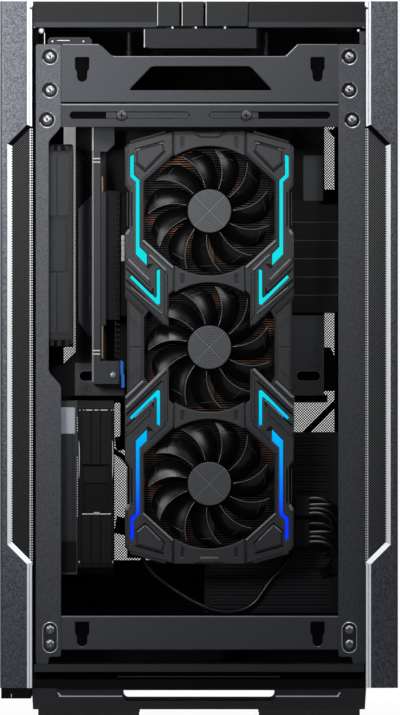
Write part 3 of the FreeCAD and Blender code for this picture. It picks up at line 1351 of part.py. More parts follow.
def main():
    """Builds every piece and writes it under its node's name."""
    os.makedirs("parts", exist_ok=True)
    front_post, rear_post = post(True), flip_x(post(False))
    plate, rail, panel, mesh = top_plate(), bottom_rail(), front_panel(), vent_mesh()
    intake_frame, intake_rotor = case_fan(INTAKE_SIZE, INTAKE_BORE, FAN_X, INTAKE_LOW)
    rad_frame, rad_rotor = case_fan(RADIATOR_SIZE, RADIATOR_BORE, RADIATOR_FAN_X, RADIATOR_LOW)
    motors, wheels = card_fans()
    lead, lead_radii, lead_length = tube([V(x, LEAD_Y, z) for x, z in LEAD_ROUTE], LEAD_RADIUS)
    bundles = [tube(route, POWER_RADIUS) for route in power_routes()]
    nodes = {
        "base_stand": base_stand(), "rubber_feet": rubber_feet(), "chassis_floor": chassis_floor(),
        "near_front_post": front_post, "near_rear_post": rear_post,
        "far_front_post": flip_y(front_post), "far_rear_post": flip_y(rear_post),
        "near_top_plate": plate, "far_top_plate": flip_y(plate),
        "near_bottom_rail": rail, "far_bottom_rail": flip_y(rail),
        "card_rail": card_rail(), "top_deck": top_deck(),
        "front_panel": panel, "rear_panel": flip_x(panel),
        "front_near_mesh": mesh, "front_far_mesh": flip_y(mesh),
        "rear_near_mesh": flip_x(mesh), "rear_far_mesh": flip_x(flip_y(mesh)),
        "front_end_cap": front_end_cap(), "top_cover": top_cover(), "cover_pegs": cover_pegs(),
        "mode_button": button(0), "light_button": button(1), "power_button": button(2),
        "switch_housing": switch_housing(), "latch_plate": latch_plate(), "frame_screws": frame_screws(),
        "side_panel": side_panel(), "panel_studs": panel_studs(),
        "intake_fan_frame": intake_frame, "intake_fan_rotor": intake_rotor,
        "radiator_fan_frame": rad_frame, "radiator_fan_rotor": rad_rotor,
        "radiator": fused([radiator(), manifold()]), "radiator_hoses": radiator_hoses(),
        "pump_block": pump_block(),
        "motherboard_tray": motherboard_tray(), "motherboard": motherboard(),
        "memory_modules": memory_modules(),
        "psu_case": psu_case(), "psu_bracket": psu_bracket(),
        "card_shroud": card_shroud(), "card_light_strips": Part.makeCompound(light_strips()),
        "card_heatsink": card_heatsink(), "card_fan_motors": motors,
        "card_fan_top": wheels[0], "card_fan_middle": wheels[1], "card_fan_bottom": wheels[2],
        "card_board": card_board(), "card_backplate": card_backplate(), "card_bracket": card_bracket(),
        "power_plugs": power_plugs(), "power_leads": Part.makeCompound([b[0] for b in bundles]),
        "lighting_lead": lead, "riser_bracket": riser_bracket(), "riser_socket": riser_socket(),
        "riser_ribbon": riser_ribbon(), "riser_plug": riser_plug(),
    }
    for name, shape in nodes.items():
        shape.exportStep("parts/" + name + ".step")
        solids = len(shape.Solids)
        print(name, solids, "solids", round(shape.Volume / 1000, 2), "cm3",
              "valid" if shape.isValid() else "INVALID")
    print("lighting lead", round(lead_length, 1), "mm, radii", [round(r, 1) for r in lead_radii])
    for _, radii, length in bundles:
        print("power lead", round(length, 1), "mm, radii", [round(r, 1) for r in radii])


if __name__ == "__main__":
    main()
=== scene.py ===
"""Looks of an upright small form factor computer case with its near side open.

Lengths are in millimetres of the row frame: X runs from the front panel (-) to the rear panel (+),
Y from the open side (-) to the perforated panel (+) and Z up.
"""
import logging
import math
from dataclasses import dataclass, field, replace
from typing import Callable, Iterable, Sequence

import bmesh
import bpy
from mathutils import Matrix, Vector

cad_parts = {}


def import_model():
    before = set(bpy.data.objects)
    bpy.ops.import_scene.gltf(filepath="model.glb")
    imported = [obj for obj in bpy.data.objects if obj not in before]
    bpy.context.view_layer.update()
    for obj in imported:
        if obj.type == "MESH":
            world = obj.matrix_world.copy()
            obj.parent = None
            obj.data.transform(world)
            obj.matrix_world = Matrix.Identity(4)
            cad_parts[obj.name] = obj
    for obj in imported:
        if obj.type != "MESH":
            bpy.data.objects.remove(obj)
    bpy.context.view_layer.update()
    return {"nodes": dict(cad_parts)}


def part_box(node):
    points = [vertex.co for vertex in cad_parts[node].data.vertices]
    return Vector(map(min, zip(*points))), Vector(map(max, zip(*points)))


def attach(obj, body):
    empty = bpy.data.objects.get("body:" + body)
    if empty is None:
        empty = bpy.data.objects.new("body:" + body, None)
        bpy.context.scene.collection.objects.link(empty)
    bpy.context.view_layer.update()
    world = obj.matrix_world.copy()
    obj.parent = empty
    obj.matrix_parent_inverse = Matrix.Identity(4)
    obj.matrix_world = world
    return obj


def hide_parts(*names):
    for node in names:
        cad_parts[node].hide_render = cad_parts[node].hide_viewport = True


LOG = logging.getLogger("scene")
MM = 0.001
Point2 = tuple[float, float]
Span = tuple[float, float]
Ring = Sequence[Point2]
Place = Sequence[float]
Values = dict[str | int, float | Place]
Node = bpy.types.Node
Piece = bpy.types.Object
Face = bpy.types.MeshPolygon

CASE = "case"
ENDS = ((-1, "front"), (1, "rear"))
NEAR = (0, -1, 0)
# The turn that stands an outline drawn flat upright in X and Z.
UPRIGHT = Matrix(((1, 0, 0, 0), (0, 0, -1, 0), (0, 1, 0, 0), (0, 0, 0, 1)))
# Depths and a height that several steel pieces share, and where their holes are.
POST_FACE, PLATE_FACE, PLATE_BACK, POST_TOP = -78.0, -76.8, -75.6, 462.6
SCREW_X = {-1: -102.6, 1: 103.6}
KEY_X = {-1: -80.5, 1: 81.7}
MESH_PITCH = 1.72
# The card's middle and face, and the spacing, openings and blades of its fans.
CARD_X, CARD_Z, FACE_Y = 7.2, 253.8, -62.0
FAN_PITCH, OPENING_RADIUS, BLADES = 94.1, 44.7, 11


@dataclass
class Graph:
    """The nodes of a material or of the world."""

    tree: bpy.types.NodeTree

    @classmethod
    def fresh(cls, name: str) -> tuple[bpy.types.Material, "Graph"]:
        """Returns:
            A new material and its nodes.
        """
        made = bpy.data.materials.new(name)
        made.use_nodes = True
        return made, cls(made.node_tree)

    @staticmethod
    def fill(node: Node, values: Values) -> Node:
        """Returns:
            The node, with constants on its sockets.
        """
        for socket, value in values.items():
            node.inputs[socket].default_value = value
        return node

    def shader(self, values: Values) -> Node:
        """Returns:
            The surface node, with constants on its sockets.
        """
        return self.fill(self.tree.nodes["Principled BSDF"], values)

    def add(self, kind: str, values: Values | None = None, operation: str = "") -> Node:
        """Adds a node.

        Args:
            kind: its type, without the word ShaderNode.
            values: constants for its sockets.
            operation: what a math node works out.
        Returns:
            The node.
        """
        node = self.tree.nodes.new("ShaderNode" + kind)
        if operation:
            node.operation = operation
        return self.fill(node, values or {})

    def ramp(self, *stops: tuple[float, Place]) -> Node:
        """Adds a colour ramp.

        Args:
            stops: place and colour of its two ends, then of any stop between them.
        Returns:
            The node.
        """
        node = self.add("ValToRGB")
        row = node.color_ramp.elements
        for k, (place, color) in enumerate(stops):
            stop = row[k] if k < 2 else row.new(place)
            stop.position = place
            stop.color = (*color, 1)
        return node

    def link(self, start: Node, output: str | int, end: Node, socket: str | int) -> None:
        """Joins an output of one node to a socket of another."""
        self.tree.links.new(start.outputs[output], end.inputs[socket])


@dataclass(frozen=True)
class Finish:
    """A procedural surface.

    Args:
        name: the material's name.
        slot: the record's material slot; not used.
        color: base colour, linear.
        rough: roughness.
        metal: metallic share.
        grain: how far the fine speckle lightens and darkens the colour.
        grain_mm: size of the speckle.
        bump: depth of the speckle as relief, in millimetres.
        coat: clear coat share.
        spec: strength of plain reflection.
        glow: light given off.
    """

    name: str
    slot: str
    color: tuple[float, float, float]
    rough: float
    metal: float = 0.0
    grain: float = 0.0
    grain_mm: float = 0.6
    bump: float = 0.0
    coat: float = 0.0
    spec: float = 0.5
    glow: float = 0.0

    def material(self) -> bpy.types.Material:
        """Returns:
            The finish as a material, made once.
        """
        made = bpy.data.materials.get(self.name)
        if made:
            return made
        made, graph = Graph.fresh(self.name)
        shader = graph.shader({
            "Base Color": (*self.color, 1), "Roughness": self.rough, "Metallic": self.metal,
            "Coat Weight": self.coat, "Coat Roughness": 0.15, "Specular IOR Level": self.spec,
            "Emission Color": (*self.color, 1), "Emission Strength": self.glow})
        if self.grain or self.bump:
            self.speckle(graph, shader)
        return made

    def speckle(self, graph: Graph, shader: Node) -> None:
        """Adds the fine speckle to colour and relief.

        Args:
            graph: the material's nodes.
            shader: the surface node.
        """
        coords = graph.add("TexCoord")
        noise = graph.add("TexNoise", {"Scale": 1 / (self.grain_mm * MM), "Detail": 2.0})
        graph.link(coords, "Object", noise, "Vector")
        if self.grain:
            low, high = ([c * (1 + sign * self.grain) for c in self.color] for sign in (-1, 1))
            ramp = graph.ramp((0.3, low), (0.7, high))
            graph.link(noise, "Fac", ramp, "Fac")
            graph.link(ramp, "Color", shader, "Base Color")
        if self.bump:
            bump = graph.add("Bump", {"Strength": 0.5, "Distance": self.bump * MM})
            graph.link(noise, "Fac", bump, "Height")
            graph.link(bump, "Normal", shader, "Normal")


STEEL = Finish("steel_coat", "case_steel", (0.06, 0.064, 0.074), 0.36, 0.1, 0.3, 0.8, 0.02, spec=0.25)
POST_STEEL = replace(STEEL, name="post_steel", color=(0.1, 0.104, 0.12))
# A darker copy of the case steel for the card rail: painted shade.
RAIL_STEEL_SHADED = replace(STEEL, name="rail_steel_shaded", color=(0.038, 0.04, 0.046))
# Pale metal: painted highlights, for glints on the fan frames and the latch slot.
STEEL_HIGHLIGHT = Finish("painted_steel_highlight", "case_steel", (0.75, 0.77, 0.8), 0.3, 0.5)
LOW_STEEL = Finish("low_steel", "case_steel", (0.098, 0.101, 0.114), 0.36, 0.1, 0.25, 0.8, 0.02, spec=0.3)
DARK_STEEL = Finish("dark_steel", "case_steel", (0.022, 0.023, 0.026), 0.36, 0.1, 0.1, 0.5, 0.02)
FLOOR = replace(DARK_STEEL, name="floor_pan", color=(0.036, 0.038, 0.041))
RIM = Finish("rim_metal", "case_steel", (0.5, 0.52, 0.55), 0.38, 0.9)
# Glowing pale strips: painted highlights on edges.
EDGE_HIGHLIGHT = Finish("painted_edge_highlight", "case_steel", (0.5, 0.52, 0.56), 0.4, glow=0.28)
# Fainter glowing strips: painted highlights on edges.
FAINT_HIGHLIGHT = Finish("painted_faint_highlight", "case_steel", (0.26, 0.27, 0.3), 0.4, glow=0.16)
INNER_STEEL = replace(DARK_STEEL, name="inner_steel", color=(0.052, 0.054, 0.062), spec=0.25)
# Paler than the tray's own steel: painted light where the tray lies in shade.
TRAY_LIT = Finish("tray_steel_lit", "case_steel", (0.11, 0.114, 0.124), 0.4, 0.1, spec=0.3)
# Paler still: painted light on the board shield and painted highlight on the tray's screw rings.
SHIELD_LIT = Finish("shield_steel_lit", "case_steel", (0.16, 0.165, 0.178), 0.4, 0.1)
ALUMINIUM = Finish("panel_blasted", "panel_aluminium", (0.13, 0.137, 0.157), 0.36, 0.2, 0.6, 0.9, 0.03,
                   spec=0.25)
# Near white and glowing: painted highlight on the panels' polished cut faces.
CUT_HIGHLIGHT = Finish("bright_cut_highlight", "panel_aluminium", (0.86, 0.88, 0.92), 0.35, 0.2, glow=0.3)
# Glowing pale grey: painted highlight, a thin bright strip on the panels' faces.
CUT_LINE_HIGHLIGHT = Finish("cut_line_highlight", "panel_aluminium", (0.36, 0.37, 0.4), 0.4, 0.2, glow=0.2)
# Pale aluminium on the radiator's upper end block: partly its own colour, partly painted light.
ALU_LIT = Finish("pale_aluminium_lit", "fin_metal", (0.48, 0.5, 0.545), 0.4, 0.3)
MESH = {-1: Finish("front_mesh", "mesh_steel", (0.044, 0.046, 0.049), 0.45, 0.2),
        1: Finish("rear_mesh", "mesh_steel", (0.17, 0.177, 0.187), 0.45, 0.2)}
# Near black: painted shade on the far panel's inner and edge faces; its outward faces take the side steel.
SIDE_MESH_SHADE = Finish("side_mesh_painted_shade", "case_steel", (0.004, 0.004, 0.005), 0.7, spec=0.2)
SIDE_STEEL = Finish("side_steel", "case_steel", (0.05, 0.052, 0.058), 0.45, 0.1, spec=0.25)
# Near black with almost no reflection: painted shade, for pieces and faces that lie in deep shade.
SHADE_BLACK = Finish("painted_shade_black", "black_plastic", (0.002, 0.002, 0.002), 0.9, spec=0.05)
JET = Finish("jet_black", "black_plastic", (0.005, 0.005, 0.006), 0.4, spec=0.12)
BLACK = Finish("black_moulding", "black_plastic", (0.013, 0.013, 0.015), 0.36, 0.0, 0.15, 0.6, 0.02,
               spec=0.25)
FAN_SIDE = Finish("fan_side", "black_plastic", (0.041, 0.044, 0.05), 0.4, 0.0, 0.2, 0.6, 0.03, spec=0.15)
FAN_DARK = Finish("fan_dark", "black_plastic", (0.0075, 0.0077, 0.0083), 0.4, 0.0, 0.35, 0.8, 0.03, spec=0.15)
STAND = Finish("stand_moulding", "black_plastic", (0.06, 0.061, 0.068), 0.36, 0.0, 0.1, 0.6, 0.02, spec=0.25)
COVER = Finish("cover_moulding", "dark_plastic", (0.0125, 0.0135, 0.015), 0.36, 0.1, 0.08, 0.5, 0.02,
               spec=0.15)
# Paler than the cover: painted light on the cover's down-facing bevel.
COVER_LIP_LIT = Finish("cover_lip_painted_light", "dark_plastic", (0.075, 0.08, 0.086), 0.45, 0.1, 0.08, 0.5, 0.02)
COVER_EDGE = replace(COVER, name="cover_edge", color=(0.024, 0.026, 0.0285))
HOUSING = Finish("switch_housing", "dark_plastic", (0.022, 0.023, 0.026), 0.36, spec=0.15)
SHROUD = Finish("shroud_moulding", "dark_plastic", (0.071, 0.073, 0.079), 0.36, 0.1, 0.3, 0.7, 0.05,
                spec=0.25)
SHROUD_DARK = Finish("shroud_recess", "dark_plastic", (0.03, 0.031, 0.033), 0.4, 0.1, 0.25, 0.7, 0.05,
                     spec=0.3)
SHROUD_SIDE = replace(SHROUD_DARK, name="shroud_side", color=(0.05, 0.051, 0.054))
# Pale grey: painted highlights on the shroud's up-facing slopes.
SHROUD_HIGHLIGHT = Finish("shroud_painted_highlight", "dark_plastic", (0.42, 0.43, 0.45), 0.4, 0.1, 0.2, 0.7, 0.04)
BLADE = Finish("fan_blade", "fan_plastic", (0.006, 0.006, 0.007), 0.28, spec=0.55)
# Pale grey: painted highlights along the blades' leading edges.
BLADE_EDGE_HIGHLIGHT = Finish("fan_blade_edge_highlight", "fan_plastic", (0.4, 0.4, 0.42), 0.3, 0.2)
# Small ridges on the blades, drawn lighter than the blade plastic: partly real ridge, partly painted
# highlight.
FENCE = Finish("fan_blade_fence", "fan_plastic", (0.07, 0.07, 0.075), 0.35, 0.1)
RUBBER = Finish("rubber_black", "rubber", (0.012, 0.012, 0.013), 0.75)
SCREW = Finish("screw_nickel", "fasteners", (0.3, 0.305, 0.32), 0.25, 0.7)
SCREW_DARK = Finish("screw_black", "fasteners", (0.06, 0.06, 0.066), 0.4, 0.4)
# Bright steel that also glows a little: partly its own colour, partly painted highlight.
BRIGHT = Finish("bright_steel_pin", "bright_steel", (0.85, 0.85, 0.87), 0.2, 0.4, glow=0.2)
BOARD = Finish("board_black", "circuit_board", (0.004, 0.005, 0.005), 0.4, spec=0.08)
BOARD_EDGE = Finish("board_edge", "circuit_board", (0.3, 0.2, 0.11), 0.6)
COPPER = Finish("copper_pipe", "fin_metal", (0.09, 0.055, 0.04), 0.4, 0.4)
CABLE = Finish("cable_black", "cable", (0.011, 0.011, 0.012), 0.3, 0.0, 0.0, 0.6, 0.0, 0.6)
RIBBON = Finish("ribbon_black", "cable", (0.0115, 0.0115, 0.013), 0.4, spec=0.15)
# Pale grey: painted highlights between the ribbon bands.
RIBBON_HIGHLIGHT = Finish("ribbon_highlight", "cable", (0.11, 0.112, 0.118), 0.4)
# Blue plastic that glows a little: partly its own colour, partly painted light.
BLUE = Finish("blue_latch", "black_plastic", (0.01, 0.25, 1.0), 0.35, glow=0.15)
# Pale and glowing: painted highlights, glints and bright dots.
HIGHLIGHT_TICK = Finish("pale_highlight_mark", "case_steel", (0.75, 0.75, 0.77), 0.4, glow=0.15)
# Pale marks that also glow a little; the glow is painted light.
PALE = Finish("pale_block", "case_steel", (0.85, 0.83, 0.8), 0.5, glow=0.1)


def rounded(points: Ring, radius: float, steps: int = 4) -> list[Point2]:
    """Rounds the corners of an outline.

    Args:
        points: the outline's corners.
        radius: the corners' radius, less where an edge is short.
        steps: straight pieces per corner.
    Returns:
        The rounded outline.
    """
    made: list[Point2] = []
    count = len(points)
    for i, corner in enumerate(points):
        here = Vector(corner)
        before, after = Vector(points[i - 1]) - here, Vector(points[(i + 1) % count]) - here
        reach = min(radius, before.length * 0.45, after.length * 0.45)
        start, end = here + before.normalized() * reach, here + after.normalized() * reach
        for k in range(steps + 1):
            t = k / steps
            p = start.lerp(here, t).lerp(here.lerp(end, t), t)
            made.append((p.x, p.y))
    return made


def rectangle(x: Span, z: Span) -> list[Point2]:
    """Returns:
        The corners of an upright rectangle.
    """
    return [(x[0], z[0]), (x[1], z[0]), (x[1], z[1]), (x[0], z[1])]


def circle(x: float, z: float, radius: float, steps: int = 32) -> list[Point2]:
    """Returns:
        The corners of a round outline.
    """
    turns = [2 * math.pi * k / steps for k in range(steps)]
    return [(x + radius * math.cos(t), z + radius * math.sin(t)) for t in turns]


def arc(radius: float, degrees: Iterable[int], x: float = 0, z: float = 0, sz: int = 1) -> list[Point2]:
    """Returns:
        Points round a middle at the given angles, turned over where sz is -1.
    """
    turns = [math.radians(t) for t in degrees]
    return [(x + radius * math.cos(t), z + sz * radius * math.sin(t)) for t in turns]


def slat(a: Point2, b: Point2, half: float) -> list[Point2]:
    """Returns:
        A bar from one point to another, upright at its ends.
    """
    return [(a[0], a[1] - half), (b[0], b[1] - half), (b[0], b[1] + half), (a[0], a[1] + half)]


def obround(x: Span, z: Span, steps: int = 8) -> list[Point2]:
    """Returns:
        The outline of a slot with round ends along its longer side.
    """
    wide, tall = x[1] - x[0], z[1] - z[0]
    radius = min(wide, tall) / 2
    ends = [(x[0] + radius, z[0] + radius), (x[1] - radius, z[1] - radius)]
    first = math.pi / 2 if wide > tall else math.pi
    made = []
    for k, (a, b) in enumerate(ends):
        for s in range(steps + 1):
            t = first + math.pi * (k + s / steps)
            made.append((a + radius * math.cos(t), b + radius * math.sin(t)))
    return made


def inset(ring: Ring, depth: float) -> list[Point2]:
    """Draws an outline inward.

    Args:
        ring: the outline's corners.
        depth: how far each side moves in.
    Returns:
        The smaller outline's corners.
    """
    turn = sum(a[0] * b[1] - b[0] * a[1] for a, b in zip(ring, [*ring[1:], ring[0]]))
    points = [Vector(point) for point in (ring if turn > 0 else ring[::-1])]
    made = []
    for k, point in enumerate(points):
        before = (point - points[k - 1]).normalized()
        after = (points[(k + 1) % len(points)] - point).normalized()
        lean = Vector((-before.y - after.y, before.x + after.x)) * depth / (1 + before.dot(after))
        made.append((point.x + lean.x, point.y + lean.y))
    return made


def shifted(points: Ring, x: float, z: float, sx: float = 1.0, sz: float = 1.0) -> list[Point2]:
    """Returns:
        An outline moved, and mirrored where sx or sz is -1.
    """
    return [(x + sx * a, z + sz * b) for a, b in points]


@dataclass
class Mold:
    """A mesh under construction, in millimetres."""

    mesh: bmesh.types.BMesh = field(default_factory=bmesh.new)

    def sheet(self, outline: Ring, span: Span, holes: Iterable[Ring] = (), edge: float = 0.2,
              steps: int = 1) -> "Mold":
        """Adds an upright plate with softened edges.

        Args:
            outline: its outer edge in X and Z.
            span: its two faces along Y.
            holes: outlines cut through it.
            edge: width of the softened edge.
            steps: facets of the softened edge.
        """
        curve = bpy.data.curves.new("draft", "CURVE")
        curve.dimensions = "2D"
        curve.fill_mode = "BOTH"
        curve.extrude = abs(span[1] - span[0]) / 2 - edge
        curve.bevel_depth = edge
        curve.bevel_resolution = steps - 1
        curve.offset = -edge
        for ring in (outline, *holes):
            spline = curve.splines.new("POLY")
            spline.points.add(len(ring) - 1)
            for point, (a, b) in zip(spline.points, ring):
                point.co = (a, b, 0, 1)
            spline.use_cyclic_u = True
        draft = bpy.data.objects.new("draft", curve)
        bpy.context.scene.collection.objects.link(draft)
        graph = bpy.context.evaluated_depsgraph_get()
        made = bpy.data.meshes.new_from_object(draft.evaluated_get(graph))
        made.transform(Matrix.Translation((0, (span[0] + span[1]) / 2, 0)) @ UPRIGHT)
        self.mesh.from_mesh(made)
        bpy.data.objects.remove(draft)
        bpy.data.curves.remove(curve)
        bpy.data.meshes.remove(made)
        return self

    def box(self, x: Span, y: Span, z: Span, edge: float = 0.2, steps: int = 1) -> "Mold":
        """Adds a box with softened edges."""
        verts = [self.mesh.verts.new((a, b, c)) for a in x for b in y for c in z]
        order = ((0, 1, 3, 2), (4, 6, 7, 5), (0, 4, 5, 1), (2, 3, 7, 6), (0, 2, 6, 4), (1, 5, 7, 3))
        faces = [self.mesh.faces.new([verts[i] for i in four]) for four in order]
        if edge:
            edges = list({e for f in faces for e in f.edges})
            bmesh.ops.bevel(self.mesh, geom=edges, offset=edge, segments=steps, profile=0.5, affect="EDGES")
        return self

    def solid(self, near: Sequence[Vector], far: Sequence[Vector]) -> "Mold":
        """Adds a closed bar between two rings of as many corners."""
        a = [self.mesh.verts.new(p) for p in near]
        b = [self.mesh.verts.new(p) for p in far]
        self.mesh.faces.new(a)
        self.mesh.faces.new(list(reversed(b)))
        for i in range(len(a)):
            j = (i + 1) % len(a)
            self.mesh.faces.new((a[j], a[i], b[i], b[j]))
        return self

    def prism(self, ring: Ring, y: Span) -> "Mold":
        """Adds a plain plate from an XZ outline."""
        return self.solid([Vector((a, y[0], b)) for a, b in ring], [Vector((a, y[1], b)) for a, b in ring])

    def lathe(self, profile: Ring, centre: Place, steps: int = 32, axis: Place = NEAR) -> "Mold":
        """Adds a turned piece.

        Args:
            profile: radius and height of each step, from radius 0 to radius 0 or round to its start.
            centre: where height is 0.
            steps: facets round the axis.
            axis: which way height grows.
        """
        turn = Vector((0, 0, 1)).rotation_difference(Vector(axis)).to_matrix()
        base = Vector(centre)
        rings = []
        for radius, height in profile:
            spots = circle(0, 0, radius, steps) if radius > 1e-6 else [(0, 0)]
            rings.append([self.mesh.verts.new(base + turn @ Vector((a, b, height))) for a, b in spots])
        for low, high in zip(rings, rings[1:]):
            for k in range(steps):
                n = (k + 1) % steps
                corners = [low[k % len(low)], low[n % len(low)], high[n % len(high)], high[k % len(high)]]
                corners = list(dict.fromkeys(corners))
                if len(corners) > 2:
                    self.mesh.faces.new(corners)
        return self

    def tube(self, points: Sequence[Place], radius: float, sides: int = 10, steps: int = 6) -> "Mold":
        """Adds a round bar through points, smoothed between them."""
        route = [Vector(p) for p in points]
        full = [route[0] * 2 - route[1], *route, route[-1] * 2 - route[-2]]
        path: list[Vector] = []
        for p0, p1, p2, p3 in zip(full, full[1:], full[2:], full[3:]):
            for k in range(steps):
                t = k / steps
                path.append(0.5 * (2 * p1 + (p2 - p0) * t + (2 * p0 - 5 * p1 + 4 * p2 - p3) * t * t
                                   + (3 * p1 - p0 - 3 * p2 + p3) * t ** 3))
        path.append(route[-1])
        across = (path[1] - path[0]).orthogonal().normalized()
        spots = circle(0, 0, 1, sides)
        rings = []
        for i, p in enumerate(path):
            along = (path[min(i + 1, len(path) - 1)] - path[max(i - 1, 0)]).normalized()
            across = (across - along * across.dot(along)).normalized()
            other = along.cross(across)
            rings.append([self.mesh.verts.new(p + (across * a + other * b) * radius) for a, b in spots])
        for low, high in zip(rings, rings[1:]):
            for k in range(sides):
                n = (k + 1) % sides
                self.mesh.faces.new((low[k], low[n], high[n], high[k]))
        self.mesh.faces.new(list(reversed(rings[0])))
        self.mesh.faces.new(rings[-1])
        return self

    def cast(self, name: str, finish: Finish, body: str = CASE, replaces: Sequence[str] = (),
             smooth: float = 20.0, material: bpy.types.Material | None = None) -> Piece:
        """Turns the draft into a piece of the object.

        Args:
            name: the piece's name.
            finish: its surface.
            body: the body it moves with.
            replaces: the CAD nodes it stands for.
            smooth: edges flatter than this many degrees are shaded smooth.
            material: another surface than the finish's own.
        Returns:
            The piece.
        """
        bmesh.ops.remove_doubles(self.mesh, verts=self.mesh.verts, dist=0.002)
        bmesh.ops.recalc_face_normals(self.mesh, faces=self.mesh.faces)
        data = bpy.data.meshes.new(name)
        self.mesh.to_mesh(data)
        self.mesh.free()
        data.transform(Matrix.Scale(MM, 4))
        data.shade_smooth()
        data.set_sharp_from_angle(angle=math.radians(smooth))
        data.materials.append(material or finish.material())
        piece = bpy.data.objects.new(name, data)
        bpy.context.scene.collection.objects.link(piece)
        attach(piece, body)
        if replaces:
            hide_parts(*replaces)
        return piece


@dataclass
class Assembly:
    """A group of pieces. Each group builds its own pieces and dresses CAD nodes."""

    nodes: dict[str, Piece]

    def build(self) -> None:
        """Makes the pieces of this group."""

    def dress(self, finish: Finish, *names: str) -> None:
        """Gives CAD nodes a finish.

        Args:
            finish: the surface.
            names: the nodes.
        """
        for name in names:
            node = self.nodes[name]
            node.data.materials.clear()
            node.data.materials.append(finish.material())

    @staticmethod
    def paint(piece: Piece, finish: Finish, where: Callable[[Face], bool]) -> None:
        """Gives some faces of a piece another finish.

        Args:
            piece: the piece or CAD node.
            finish: the other surface.
            where: tells whether a face gets it.
        """
        piece.data.materials.append(finish.material())
        last = len(piece.data.materials) - 1
        for face in piece.data.polygons:
            if where(face):
                face.material_index = last


